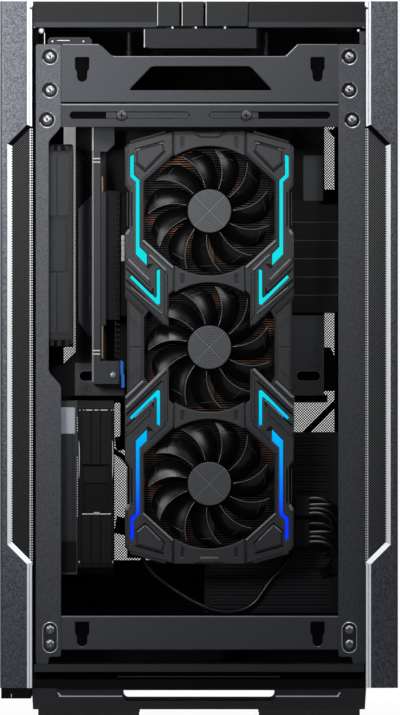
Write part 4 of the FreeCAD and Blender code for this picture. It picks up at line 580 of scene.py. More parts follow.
@dataclass
class Skin(Assembly):
    """Aluminium panels, vent liners, top cover and perforated side panel."""

    def build(self) -> None:
        for sx, end in ENDS:
            self.panel(f"{end}_panel", sx)
        for sx, end in ENDS:
            for sy, side in ((-1, "near"), (1, "far")):
                self.liner(sx, sy, f"{end}_{side}_mesh")
        self.side_panel()
        self.cover()
        self.dress(JET, "front_end_cap")
        self.dress(SCREW_DARK, "panel_studs")

    def panel(self, name: str, sx: int) -> None:
        """Gives a panel its blasted skin, cut edges painted as highlights where they face up or sideways and
        as shade where they face down, dark vent teeth and a lid in its open top.

        Args:
            name: the panel's node.
            sx: which end of the case.
        """
        def slanted(face: Face) -> bool:
            return 0.2 < abs(face.normal.y) < 0.98 and abs(face.center.x) < 0.1335

        self.dress(ALUMINIUM, name)
        # Slanted cut faces get a painted highlight, and those turned down get painted shade.
        self.paint(self.nodes[name], CUT_HIGHLIGHT, slanted)
        self.paint(self.nodes[name], SHADE_BLACK, lambda face: slanted(face) and face.normal.z < -0.15)
        line, teeth = Mold(), Mold()
        # A thin glowing strip on each panel's face: painted highlight.
        for z in ((19.6, 104.4), (407.4, 491.6)):
            line.box((sx * 116.5, sx * 116.95), (-84.4, -83.6), z, 0.05)
        line.cast(name + "_line", CUT_LINE_HIGHLIGHT)
        # Near black teeth along the vent's edge: painted shade.
        root, tip = sx * 128.3, sx * 129.5
        for k in range(158):
            z = 120.4 + k * MESH_PITCH
            teeth.prism([(root, z - 0.5), (tip, z), (root, z + 0.5)], (-84.05, -83.0))
        teeth.cast(name + "_teeth", SHADE_BLACK)
        lid = Mold().box(sorted((sx * 114.5, sx * 136.0)), (-84.0, 84.0), (486.5, 488.0), 0.1)
        lid.cast(name + "_lid", DARK_STEEL)

    def cover(self) -> None:
        """Gives the top cover its skin, and draws the bevel along its skirt paler: painted light on faces
        turned down.
        """
        def bevel(face: Face) -> bool:
            return abs(face.normal.y) > 0.3 and face.normal.z < -0.1

        self.dress(COVER, "top_cover")
        self.paint(self.nodes["top_cover"], COVER_LIP_LIT, bevel)

    def liner(self, sx: int, sy: int, node: str) -> None:
        """Builds a vent liner: slanted bars on a dark backing of painted shade, with painted highlights
        dotted along the fold of its free edge.

        Args:
            sx: which end of the case.
            sy: which side of the case.
            node: the CAD node that it stands for.
        """
        left, right, low, high = 116.9, 132.0, 103.0, 408.8
        # A near black sheet and side wall behind the bars: painted shade.
        back = Mold().prism(rectangle((sx * 114.5, sx * 134.0), (low, high)), (sy * 81.5, sy * 81.2))
        back.box((sx * 115.0, sx * 115.6), (sy * 81.3, sy * 76.3), (low, high), 0)
        back.cast(node + "_shade_backing", SHADE_BLACK, replaces=[node])
        bars, half = Mold(), 0.34
        start = low - (right - left)
        for k in range(int((high - start) / MESH_PITCH)):
            z = start + k * MESH_PITCH
            a, b = max(left, left + low - z), min(right, left + high - z)
            if b - a > 0.8:
                bar = slat((sx * a, z + a - left), (sx * b, z + b - left), half)
                bars.prism(bar, (sy * 81.9, sy * 81.5))
        bars.cast(node + "_hatch", MESH[sx])
        # Pale glowing dots along the fold: painted highlights.
        dots = Mold()
        for k in range(int((high - low) / MESH_PITCH) - 2):
            z = low + 1.6 + k * MESH_PITCH
            for x, reach in ((116.1, 0.56), (114.85, 0.36)):
                spot = rectangle((sx * (x - reach), sx * (x + reach)), (z - reach - 0.1, z + reach + 0.1))
                dots.prism(spot, (sy * 81.95, sy * 81.45))
        dots.cast(node + "_dots", HIGHLIGHT_TICK)

    def side_panel(self) -> None:
        """Builds the far panel: a hemmed frame round two crossed layers of fine bars, near black as painted
        shade except on the faces turned outward.
        """
        def outward(face: Face) -> bool:
            return face.normal.y > 0.5

        # The frame and bars are drawn near black as painted shade; only the faces turned outward take the
        # side steel.
        mold, low, top, hem = Mold(), 35.5, 476.0, 8.0
        hole = rectangle((-94.5, 94.5), (105.5, 428.5))
        mold.sheet(rounded(rectangle((-113.6, 113.6), (low, top)), 1.5), (82.8, 84.0), [hole], 0.3)
        for x in ((-113.6, -105.6), (105.6, 113.6)):
            mold.box(x, (80.2, 82.8), (low, top), 0.3)
        for z in ((low, low + hem), (top - hem, top)):
            mold.box((-105.6, 105.6), (80.2, 82.8), z, 0.3)
        rim = mold.cast("side_panel_frame", SIDE_MESH_SHADE, "side_panel", ["side_panel"])
        self.paint(rim, SIDE_STEEL, outward)
        (left, right), (foot, head) = (-95.5, 95.5), (104.5, 429.5)
        pitch, half = 1.861, 0.45
        tall, wide = head - foot, right - left
        for word, direction, y in (("up", 1, (82.95, 83.4)), ("down", -1, (83.4, 83.85))):
            bars = Mold()
            for k in range(1, int((wide + tall) / pitch)):
                shift = k * pitch
                a, b = max(0.0, shift - tall), min(wide, shift)
                if b - a >= 2:
                    ends = [(direction * (left + u), foot + shift - u) for u in (a, b)]
                    bars.prism(slat(*ends, half), y)
            self.paint(bars.cast(f"side_panel_bars_{word}", SIDE_MESH_SHADE, "side_panel"), SIDE_STEEL, outward)
        # A near black triangle by the far posts: painted shade.
        corner = Mold().prism([(89.6, 406.0), (97.0, 397.2), (97.0, 406.0)], (77.0, 77.6))
        corner.cast("far_post_corners", SHADE_BLACK)


@dataclass
class SteelFrame(Assembly):
    """Posts, plates, rails and their screws."""

    def build(self) -> None:
        for sx, end in ENDS:
            self.post(sx, end)
        self.top_plate()
        self.rails()
        self.screws()
        self.dress(FLOOR, "chassis_floor")
        self.dress(BLACK, "latch_plate")
        # The far posts, plates, rail, deck and cover pegs are drawn near black: painted shade.
        self.dress(SHADE_BLACK, "far_front_post", "far_rear_post", "far_top_plate", "far_bottom_rail", "top_deck",
                   "cover_pegs")

    @staticmethod
    def screw_places(sx: int) -> list[Point2]:
        """Returns:
            Where the single dished screws of one post are.
        """
        x = SCREW_X[sx]
        return [(x, 453.9), (x, 430.9), (x + 2 * sx, 410.4)]

    def post(self, sx: int, end: str) -> None:
        """Builds a near post with dished screw recesses.

        Args:
            sx: which end of the case.
            end: that end's name.
        """
        out, inner = (112.5, 95.0) if sx < 0 else (114.6, 96.0)
        outline = [(out, 35.5), (out - 9, 35.5), (out - 9, 40.6), (inner, 40.6)]
        if sx < 0:
            outline += [(inner, 227.2), (out - 9, 236.8), (out - 9, 395.8), (inner, 405.5)]
        outline += [(inner, POST_TOP), (out, POST_TOP)]
        ring = rounded([(sx * a, b) for a, b in outline], 2.0)
        holes = [circle(x, z, 5.3) for x, z in self.screw_places(sx)]
        holes.append(obround((SCREW_X[sx] - 5.0, SCREW_X[sx] + 5.0), (43.4, 64.3)))
        mold = Mold().sheet(ring, (POST_FACE, PLATE_FACE), holes, 0.35, steps=2)
        mold.box((sx * 113.6, sx * 112.4), (-75.0, -57.0), (35.5, POST_TOP), 0.2)
        mold.cast(f"near_{end}_post_sheet", POST_STEEL, replaces=[f"near_{end}_post"])
        # The front post's ear is drawn near black as painted shade; the rear one keeps dark steel.
        ear = Mold().box((sx * 110.4, sx * 114.4), (-77.9, -76.9), (POST_TOP, 471.5), 0.3)
        ear.cast(f"near_{end}_post_ear", SHADE_BLACK if sx < 0 else DARK_STEEL)
        # A near black strip behind the post's edge: painted shade.
        shade_strip = Mold().box((sx * 111.6, sx * 114.9), (-76.4, -75.2), (30.5, 474.0), 0)
        shade_strip.cast(f"near_{end}_post_shade_strip", SHADE_BLACK)

    def top_plate(self) -> None:
        """Builds the near top plate with its window and keyholes, and painted highlights along its edges."""
        outline = [(-112.0, 422.7), (112.0, 422.7), (112.0, POST_TOP), (68.0, POST_TOP), (59.7, 454.3),
                   (-59.7, 454.3), (-68.0, POST_TOP), (-112.0, POST_TOP)]
        window = rounded([(-48.4, 430.9), (50.6, 430.9), (35.2, 447.4), (-32.6, 447.4)], 2.4)
        holes = [window] + [self.keyhole(x, 453.6) for x in KEY_X.values()]
        plate = Mold().sheet(rounded(outline, 3.0), (PLATE_FACE, PLATE_BACK), holes, 0.4, steps=2)
        plate.cast("near_top_plate_sheet", STEEL, replaces=["near_top_plate"])
        line = (-76.9, -76.6)
        bright = Mold().prism([(60.2, 454.0), (68.5, 462.3), (68.1, 462.7), (59.7, 454.4)], line)
        bright.cast("top_plate_glint", EDGE_HIGHLIGHT)
        # Thin glowing strips along the plate's edges: painted highlights.
        faint = Mold().box((-59.0, 59.4), line, (453.75, 454.3), 0)
        for x in ((-94.0, -69.0), (69.0, 95.5)):
            faint.box(x, line, (462.1, POST_TOP), 0)
        faint.cast("top_plate_highlight_lines", FAINT_HIGHLIGHT)

    @staticmethod
    def keyhole(x: float, top: float) -> list[Point2]:
        """Returns:
            A keyhole's outline, square above and round below.
        """
        right = [(3.9, 0), (4.6, -0.3), (4.8, -1.0), (4.8, -7.6), (4.5, -8.5), (3.6, -9.6), (3.45, -10.4),
                 (3.45, -13.4)]
        foot = [(3.45 * math.cos(t), -13.4 - 3.45 * math.sin(t)) for t in (0.4, 0.8, 1.2, math.pi / 2)]
        half = right + foot
        return [(x + a, top + b) for a, b in half] + [(x - a, top + b) for a, b in reversed(half[:-1])]

    def rails(self) -> None:
        """Builds the card rail with its two part-covered slots and the near bottom rail, with painted
        highlights along their top edges and painted shade behind the slots and keyholes.
        """
        outline = rectangle((-112.0, 112.0), (405.5, 421.7))
        slots = [obround((-89.0, -6.5), (411.2, 416.0)), obround((7.2, 90.4), (411.2, 416.0))]
        rail = Mold().sheet(outline, (PLATE_FACE, PLATE_BACK), slots, 0.4, steps=2)
        for x in ((-64.0, -6.9), (7.6, 41.0)):
            rail.box(x, (-76.45, -75.7), (411.4, 415.8), 0.15)
        # The card rail takes the darker copy of the steel: painted shade.
        rail.cast("card_rail_sheet", RAIL_STEEL_SHADED, replaces=["card_rail"])
        # Glowing strips along the top edges of both rails: painted highlights.
        highlight_lines = Mold()
        for z in (421.0, 68.3):
            highlight_lines.box((-94.8, 95.8), (-76.95, -76.5), (z - 0.4, z + 0.45), 0)
        highlight_lines.cast("rail_highlight_lines", FAINT_HIGHLIGHT)
        # Near black plates behind the rail's slots: painted shade.
        back = Mold()
        for x in ((-90.0, -63.0), (40.0, 91.5)):
            back.box(x, (-75.6, -75.2), (409.5, 417.5), 0)
        back.cast("rail_slot_backs", SHADE_BLACK)
        low = rectangle((-112.0, 112.0), (45.4, 68.8))
        holes = [self.keyhole(x, 64.7) for x in KEY_X.values()]
        rail = Mold().sheet(low, (PLATE_FACE, PLATE_BACK), holes, 0.55)
        rail.cast("near_bottom_rail_sheet", LOW_STEEL, replaces=["near_bottom_rail"])
        # Near black plates behind the keyholes: painted shade.
        backs = Mold()
        for sx in (-1, 1):
            for z in (54.0, 443.0):
                backs.box((sx * 81 - 7, sx * 81 + 7), (-75.5, -75.1), (z - 10, z + 13), 0)
        backs.cast("keyhole_backs", SHADE_BLACK)

    def screws(self) -> None:
        """Builds dished recesses, domed heads, the low screw pairs and the cross-head rail screws, with
        painted shade in the recesses and sockets.
        """
        rim, cup, head, shade = Mold(), Mold(), Mold(), Mold()
        # A dark ring round each head, a dark crescent to its upper left and a dark dot in its socket: painted
        # shade.
        shade_ring = [(3.1, 0.02), (4.8, 0.02), (4.8, 0.12), (3.1, 0.12), (3.1, 0.02)]
        dish = [(5.75, -0.4), (5.75, 0.16), (5.45, 0.36), (5.15, 0.2), (4.6, -0.4), (5.75, -0.4)]
        for sx in (-1, 1):
            for x, z in self.screw_places(sx):
                seat = (x, POST_FACE, z)
                shade.lathe(shade_ring, seat, 44)
                shadow = arc(5.7, range(70, 201, 10), x, z) + arc(4.6, range(200, 69, -10), x, z)
                shade.prism(shadow, (-78.46, -78.38))
                shade.lathe([(0, 1.66), (0.55, 1.64), (0.55, 1.2), (0, 1.2)], (x, -77.5, z), 16)
                rim.lathe(dish, seat, 44)
                cup.lathe([(0, -0.5), (5.2, -0.5), (5.2, -1.0), (0, -1.0)], seat, 44)
                self.head(head, x, z, 3.35, -77.5)
            x = SCREW_X[sx]
            outer = obround((x - 5.4, x + 5.4), (43.0, 64.7), 12)
            inner = obround((x - 4.7, x + 4.7), (43.7, 64.0), 12)
            rim.sheet(outer, (-78.3, -77.5), [inner], 0.15)
            cup.sheet(inner, (-77.4, -76.9), edge=0.05)
            for z in (49.4, 59.2):
                self.head(head, x, z, 3.2, -77.4)
        shade.cast("screw_shades", JET, smooth=50)
        rim.cast("screw_rims", RIM, smooth=50)
        # The dish floors take dark steel: painted shade in the recesses.
        cup.cast("screw_cups", DARK_STEEL)
        head.cast("screw_heads", SCREW, replaces=["frame_screws"], smooth=50)
        # Black crosses on the rail screws' heads: painted shade in their cross recesses.
        cross, cross_shade = Mold(), Mold()
        button, z = [(0, 0), (3.9, 0), (3.9, 0.7), (3.4, 1.3), (2.2, 1.6), (0, 1.7)], 413.5
        for x in (-53.2, 32.6):
            cross.lathe(button, (x, -76.6, z))
            for a, b in ((2.0, 0.45), (0.45, 2.0)):
                cross_shade.box((x - a, x + a), (-78.36, -77.9), (z - b, z + b), 0.05)
        cross.cast("rail_screws", SCREW_DARK, smooth=50)
        cross_shade.cast("rail_screw_cross_shades", JET)

    @staticmethod
    def head(mold: Mold, x: float, z: float, radius: float, y: float) -> None:
        """Adds a domed screw head with a small round socket.

        Args:
            mold: the draft it joins.
            x: middle along X.
            z: middle along Z.
            radius: the head's radius.
            y: its seat.
        """
        turns = (1.57, 1.3, 1.05, 0.8, 0.55, 0.32)
        dome = [(radius * math.sin(t), 0.2 + radius * 0.42 * math.cos(t)) for t in turns]
        socket = [(radius * 0.24, 0.2 + radius * 0.38), (radius * 0.2, 0.4), (0, 0.3)]
        mold.lathe([(0, 0), (radius, 0), *dome, *socket], (x, y, z), 36)


@dataclass
class Controls(Assembly):
    """Buttons, their switch housing and the latch beside them."""

    def build(self) -> None:
        keys = (("mode_button", -28.6, -13.4, -18.3), ("light_button", -11.7, 3.1, -2.2),
                ("power_button", 4.8, 33.7, 17.8))
        for name, left, right, tick in keys:
            mold = Mold().box((left, right), (-79.5, -67.5), (474.9, 492.0), 0.35, 2)
            middle = (left + right) / 2
            mold.box((middle - 1, middle + 1), (-74.5, -72.5), (472.0, 475.2), 0)
            mold.cast(name + "_key", COVER_EDGE, name, [name])
            # A glowing strip on each key's left edge and a glint under it: painted highlights.
            edge = Mold().box((left - 0.12, left + 0.45), (-79.5, -79.0), (475.3, 491.6), 0.1)
            edge.box((tick - 0.7, tick + 0.7), (-79.95, -79.55), (473.3, 474.7), 0.1)
            edge.cast(name + "_edge", HIGHLIGHT_TICK, name)
        self.dress(HOUSING, "switch_housing")
        # The housing's faces below 460.2 mm are drawn near black: painted shade.
        self.paint(self.nodes["switch_housing"], SHADE_BLACK, lambda face: face.center.z < 0.4602)
        Mold().box((-37.9, -37.3), (-79.5, -79.2), (460.5, 472.9), 0.1).cast("switch_glint", HIGHLIGHT_TICK)
        Mold().box((-37.3, -33.0), (-79.75, -79.5), (460.5, 473.1), 0).cast("switch_face", HOUSING)
        Mold().box((39.5, 41.7), (-79.8, -79.5), (460.2, 473.2), 0).cast("switch_shade", SHADE_BLACK)
        rivets = Mold()
        for x in (-101.0, -79.6):
            rivets.lathe([(0, 0), (0.7, 0), (0.6, 0.4), (0, 0.6)], (x, PLATE_FACE, 464.5), 16)
        bead = [(0, -1.9), (1.4, -1.3), (1.95, 0), (1.4, 1.3), (0, 1.9)]
        rivets.lathe(bead, (-108.6, -76.0, 471.9), 24)
        rivets.lathe([(0, -0.7), (0.9, -0.4), (0.9, 0.4), (0, 0.7)], (109.8, -76.0, 472.0), 16)
        rivets.box((-106.6, -106.1), (-77.0, PLATE_FACE), (POST_TOP, 470.5), 0)
        # The rivets and pins glow a little: partly painted highlight.
        rivets.cast("latch_rivets", BRIGHT, smooth=60)
        # A pale slot on the latch plate: painted highlight.
        slot = Mold().sheet(obround((-98.0, -89.0), (464.9, 465.4)), (-77.1, PLATE_FACE), edge=0.1)
        slot.cast("latch_slot", STEEL_HIGHLIGHT)
        posts = Mold()
        pin = [(0, 0), (2.6, 0), (2.6, 4.0), (2.0, 4.4), (2.0, 16.5), (1.6, 17.0), (0, 17.0)]
        for x in (-48.2, 46.0):
            posts.lathe(pin, (x, -62.0, 454.4), 24, (0, 0, 1))
        posts.cast("deck_posts", JET)


@dataclass
class GraphicsCard(Assembly):
    """Triple fan card: shroud, light strips, heatsink and wheels."""

    def build(self) -> None:
        self.shroud()
        self.shroud_trim()
        self.strips()
        self.heatsink()
        for name, step in (("card_fan_top", 1), ("card_fan_middle", 0), ("card_fan_bottom", -1)):
            self.wheel(name, CARD_Z + step * FAN_PITCH)
        # The motors, backplate and card bracket are drawn near black: painted shade.
        self.dress(SHADE_BLACK, "card_fan_motors", "card_backplate", "card_bracket")
        self.dress(BLACK, "power_plugs")
        self.dress(BOARD, "card_board")

    @staticmethod
    def place(points: Ring, su: int = 1, sv: int = 1) -> list[Point2]:
        """Returns:
            An outline about the card's middle, at its place.
        """
        return shifted(points, CARD_X, CARD_Z, su, sv)

    @staticmethod
    def strip_rings() -> list[list[Point2]]:
        """Returns:
            The two light strips of the upper right quarter.
        """
        bar = [(52.1, 133.2), (54.7, 131.7), (54.7, 117.8), (50.8, 114.0), (50.8, 64.3), (43.2, 56.5),
               (43.2, 64.3), (48.2, 69.3), (48.2, 115.2), (52.1, 119.1)]
        vee = [(33.9, 54.2), (33.9, 30.2), (34.8, 29.3), (36.2, 29.4), (55.2, 48.2), (53.6, 50.2),
               (37.3, 34.4), (36.5, 35.2), (36.5, 53.2)]
        return [bar, vee]

    @staticmethod
    def opening(v: float, wedges: bool) -> list[Point2]:
        """Outline of a fan opening: an eight-sided hole that bulges above and below.

        Args:
            v: its middle above the card's middle.
            wedges: whether the four arms reach into it.
        Returns:
            The outline.
        """
        corner = [(44.9, 20.7), (24.1, 39.2)]
        if wedges:
            corner = [(44.9, 20.5), (41.5, 25.9), (28.05, 13.4), (28.05, 36.2), (24.1, 39.2)]
        quarter = corner + arc(OPENING_RADIUS, range(63, 91, 3))
        half = quarter + [(-u, w) for u, w in reversed(quarter[:-1])]
        whole = half + [(u, -w) for u, w in reversed(half)]
        return [(u, v + w) for u, w in whole]

    def shroud(self) -> None:
        """Builds the shroud from a base plate, raised wings, crowns, bridges and a skirt."""
        quarter = [(24.0, 149.3), (56.1, 140.3), (58.3, 138.1), (58.3, 112.4), (55.2, 108.4), (55.2, 81.6),
                   (58.3, 77.6), (58.3, 34.0), (56.9, 32.6)]
        right = quarter + [(u, -v) for u, v in reversed(quarter)]
        outline = right + [(-u, v) for u, v in reversed(right)]
        holes = [self.place(self.opening(v, v == 0)) for v in (FAN_PITCH, 0, -FAN_PITCH)]
        base = Mold().sheet(self.place(outline), (FACE_Y + 1.6, FACE_Y + 2.6), holes, 0.3)
        hollow = [(u * 0.94, v * 0.975) for u, v in outline]
        base.sheet(self.place(outline), (FACE_Y + 2.6, FACE_Y + 20.0), [self.place(hollow)], 0.3)
        base.cast("card_shroud_base", SHROUD_DARK, replaces=["card_shroud"])
        wing = [(24.9, 149.0), (55.6, 140.4), (58.3, 137.6), (58.3, 112.4), (55.2, 108.4), (55.2, 81.6),
                (58.3, 77.6), (58.3, 41.8), (29.4, 14.9), (28.05, 15.6), (28.05, 36.2), (24.9, 39.4),
                (24.9, 55.5), (44.9, 73.6), (44.9, 114.6), (24.9, 132.6)]
        badge = [(50.4, 136.2), (32.3, 141.2), (30.9, 135.6), (44.1, 122.2), (50.4, 127.2)]
        cheek = [(55.6, 30.6), (47.0, 22.6), (47.0, 0.3), (55.6, 0.3)]
        tab = [(-12.6, 149.2), (-6.6, 144.4), (6.6, 144.4), (12.6, 149.2)]
        sweep = range(58, 123, 4)
        back = sweep[::-1]
        crown = [(-24.2, 149.3), (-24.2, 131.9), *arc(OPENING_RADIUS, back, 0, FAN_PITCH), (24.2, 131.9),
                 (24.2, 149.3)]
        bridge = [(-24.2, 56.0), *arc(OPENING_RADIUS, back, 0, FAN_PITCH, -1), (24.2, 56.0), (24.2, 38.2),
                  *arc(OPENING_RADIUS, sweep), (-24.2, 38.2)]
        raised, plain = Mold(), Mold()
        for sv in (1, -1):
            for su in (-1, 1):
                cuts = [self.place(ring, su, sv) for ring in self.strip_rings()]
                raised.sheet(self.place(wing, su, sv), (FACE_Y, FACE_Y + 1.8), cuts, 0.75, steps=2)
                raised.sheet(self.place(badge, su, sv), (FACE_Y - 1.25, FACE_Y + 0.2), edge=1.2)
                plain.sheet(self.place(cheek, su, sv), (FACE_Y + 0.9, FACE_Y + 1.8), edge=0.4, steps=2)
            for ring, tall in ((crown, (138.0, 145.0)), (bridge, (43.6, 50.6))):
                slots = [self.place(obround((u - 0.95, u + 0.95), tall), 1, sv) for u in (-18.6, 18.6)]
                raised.sheet(self.place(ring, 1, sv), (FACE_Y + 0.4, FACE_Y + 1.8), slots, 0.6, steps=2)
            raised.sheet(self.place(tab, 1, sv), (FACE_Y - 0.9, FACE_Y + 0.6), edge=1.3)
        raised.cast("card_shroud_face", SHROUD)
        plain.cast("card_shroud_sides", SHROUD_SIDE)

    def ridge(self, mold: Mold, a: Point2, b: Point2, width: float, span: Span, su: int, sv: int) -> None:
        """Adds a roof-shaped ridge along a line on the shroud.

        Args:
            mold: the draft it joins.
            a: where it starts, about the card's middle.
            b: where it ends.
            width: its width at the foot.
            span: its crest and its foot along Y.
            su: side of the card.
            sv: upper or lower half.
        """
        (x0, z0), (x1, z1) = self.place([a, b], su, sv)
        run = Vector((x1 - x0, 0, z1 - z0)).normalized()
        across = Vector((-run.z, 0, run.x)) * width / 2
        rings = []
        for x, z in ((x0, z0), (x1, z1)):
            foot, crest = Vector((x, span[1], z)), Vector((x, span[0], z))
            rings.append([foot + across, crest + across * 0.2, crest - across * 0.2, foot - across])
        mold.solid(*rings)

    def shroud_trim(self) -> None:
        """Builds the raised bars and recess ribs on the shroud's face, with flush outlines of painted shade
        along each groove and painted highlights on slopes that face up.
        """
        bars, groove_shades, ribs, highlight_ridges = Mold(), Mold(), Mold(), Mold()
        top = (FACE_Y - 1.0, FACE_Y + 0.2)
        flush = (FACE_Y - 0.06, FACE_Y + 0.2)
        crest, low_crest = (FACE_Y - 1.0, FACE_Y + 0.3), (FACE_Y - 0.2, FACE_Y + 1.7)
        slash = [(57.7, 62.6), (57.7, 58.4), (41.4, 42.0), (40.0, 42.4), (41.4, 47.4), (43.2, 48.6)]
        blade = [(31.4, 52.6), (28.6, 50.6), (28.6, 17.4), (31.4, 22.6)]
        corner = [(57.8, 136.8), (55.9, 139.0), (55.9, 134.0), (56.6, 133.2), (56.6, 113.8), (57.8, 112.9)]
        ridges = (((46.1, 73.2), (25.6, 54.6), 2.6, crest), ((46.1, 74.2), (46.1, 114.0), 2.0, crest),
                  ((46.1, 115.0), (25.6, 133.6), 2.6, crest), ((41.6, 63.4), (30.4, 52.8), 2.2, crest),
                  ((57.2, 42.6), (30.0, 16.2), 3.2, crest), ((57.4, 35.6), (45.6, 24.0), 2.4, low_crest),
                  ((57.2, 77.4), (54.4, 81.6), 2.6, crest), ((57.2, 112.6), (54.4, 108.4), 2.6, crest),
                  ((30.2, 148.6), (54.6, 141.6), 2.0, crest))
        # Slopes that face up in each half, drawn pale: painted highlights.
        glints = {1: (((45.9, 73.6), (25.4, 55.0), 1.6), ((41.4, 63.8), (30.2, 53.2), 1.4),
                      ((57.2, 77.8), (55.0, 81.2), 1.8), ((54.5, 41.6), (32.7, 23.4), 0.8),
                      ((56.0, 60.6), (41.8, 46.6), 1.3), ((50.2, 136.0), (47.6, 136.8), 0.9),
                      ((32.0, 141.0), (34.4, 140.4), 0.9)),
                  -1: (((57.4, 41.6), (30.2, 15.0), 1.8), ((57.6, 34.6), (45.6, 23.2), 1.6),
                       ((51.3, 48.4), (38.4, 36.6), 0.8), ((57.2, 112.2), (55.0, 108.6), 1.8),
                       ((45.9, 114.6), (25.4, 133.2), 1.4), ((44.1, 123.0), (34.0, 133.2), 1.0),
                       ((44.3, 123.0), (49.8, 127.4), 1.0))}
        # Flush black outlines along each groove and badge recess: painted shade.
        dark = ([(57.6, 55.6), (57.6, 53.6), (40.4, 36.8), (38.4, 36.6), (38.4, 41.0), (39.2, 41.0),
                 (40.4, 38.8)],
                [(57.6, 47.8), (57.6, 45.4), (33.4, 22.6), (32.0, 23.4)],
                [(53.0, 108.0), (54.2, 106.4), (54.2, 84.0), (53.0, 82.6)],
                [(44.0, 56.0), (42.2, 57.8), (38.2, 57.8), (42.0, 54.0)],
                [(51.6, 137.3), (31.6, 142.8), (31.2, 141.6), (51.6, 136.2)],
                [(51.8, 126.8), (44.2, 120.6), (43.6, 121.6), (50.6, 127.2)],
                [(44.2, 120.6), (29.8, 135.2), (30.6, 135.8), (44.4, 121.8)],
                [(25.9, 148.2), (25.3, 148.4), (25.3, 133.0), (25.9, 132.4)])
        spot = [(-0.8, -0.6), (0.8, -1.1), (0.8, 0.5), (-0.8, 1.0)]
        lug = [(55.0, 22.6), (49.0, 16.8), (49.0, 15.6), (55.0, 21.4)]
        rib = [(57.0, 106.8), (56.3, 107.4), (56.3, 83.2), (57.0, 83.8)]
        for su in (-1, 1):
            for sv in (-1, 1):
                for ring, edge in ((slash, 0.8), (blade, 0.8), (corner, 0.4)):
                    bars.sheet(self.place(ring, su, sv), top, edge=edge)
                for a, b, width, span in ridges:
                    self.ridge(bars, a, b, width, span, su, sv)
                for a, b, width in glints[sv]:
                    self.ridge(highlight_ridges, a, b, width * 1.3, (FACE_Y - 1.7, FACE_Y - 0.2), su, sv)
                for ring in dark:
                    groove_shades.prism(self.place(ring, su, sv), flush)
                for k in range(4):
                    ring = self.place(shifted(spot, 36.6 + k * 3.3, 134.6 - k), su, sv)
                    ribs.sheet(ring, (FACE_Y - 1.6, FACE_Y - 1.1))
                for drop in (0.0, -2.3):
                    ribs.sheet(self.place(shifted(lug, 0, drop), su, sv), (FACE_Y + 0.4, FACE_Y + 1.2))
                ribs.sheet(self.place(rib, su, sv), (FACE_Y + 1.0, FACE_Y + 4.0))
        bars.cast("card_shroud_bars", SHROUD)
        groove_shades.cast("card_shroud_groove_shades", JET)
        ribs.cast("card_shroud_ribs", SHROUD)
        highlight_ridges.cast("card_shroud_highlights", SHROUD_HIGHLIGHT)

    def strips(self) -> None:
        """Builds the lit strips, cyan above and blue below."""
        glow, graph = Graph.fresh("light_strip_glow")
        shader = graph.shader({"Base Color": (0.0, 0.0, 0.0, 1), "Roughness": 0.6, "Specular IOR Level": 0.0,
                               "Emission Strength": 1.0})
        coords, split = graph.add("TexCoord"), graph.add("SeparateXYZ")
        span = graph.add("MapRange", {"From Min": 0.138, "From Max": 0.232})
        ramp = graph.ramp((0.0, (0.004, 0.04, 1.0)), (1.0, (0.008, 0.76, 0.82)), (0.62, (0.0, 0.5, 1.0)))
        graph.link(coords, "Object", split, 0)
        graph.link(split, "Z", span, "Value")
        graph.link(span, "Result", ramp, "Fac")
        graph.link(ramp, "Color", shader, "Emission Color")
        mold = Mold()
        for ring, trim in zip(self.strip_rings(), (0.1, 0.24)):
            lit = inset(ring, trim)
            for su in (-1, 1):
                for sv in (-1, 1):
                    mold.sheet(self.place(lit, su, sv), (FACE_Y + 0.05, FACE_Y + 1.6), edge=0.05)
        finish = Finish("strip", "light_strip", (0.0, 0.7, 0.9), 0.4)
        mold.cast("card_strips", finish, replaces=["card_light_strips"], material=glow)

    def heatsink(self) -> None:
        """Builds the stack of fine fins with copper showing between them."""
        fins, graph = Graph.fresh("fin_stack")
        shader = graph.shader({"Metallic": 0.5, "Roughness": 0.4})
        coords, noise = graph.add("TexCoord"), graph.add("TexNoise", {"Scale": 46.0})
        ramp = graph.ramp((0.54, (0.016, 0.015, 0.015)), (0.76, (0.42, 0.19, 0.09)))
        graph.link(coords, "Object", noise, "Vector")
        graph.link(noise, "Fac", ramp, "Fac")
        graph.link(ramp, "Color", shader, "Base Color")
        mold = Mold()
        wide, low = (CARD_X - 52, CARD_X + 52), CARD_Z - 138.0
        count, pitch, thick = 172, 1.6, 0.55
        for k in range(count):
            z = low + 0.4 + k * pitch
            mold.box(wide, (-46.2, -27.0), (z, z + thick), 0)
        finish = Finish("fin_stock", "fin_metal", (0.1, 0.08, 0.07), 0.45, 0.6)
        mold.cast("card_fin_stack", finish, replaces=["card_heatsink"], material=fins)
        # A black block behind the fins, so the spaces between them read dark: painted shade.
        back = Mold().box(wide, (-30.0, -23.6), (low, CARD_Z + 138.0))
        back.cast("card_fin_back", JET)
        pipes = Mold()
        for v in (FAN_PITCH, 0, -FAN_PITCH):
            pipes.box((CARD_X - 1.0, CARD_X + 3.4), (-47.2, -44.0), (CARD_Z + v - 42, CARD_Z + v - 12), 0.4)
        pipes.cast("card_pipes", COPPER)

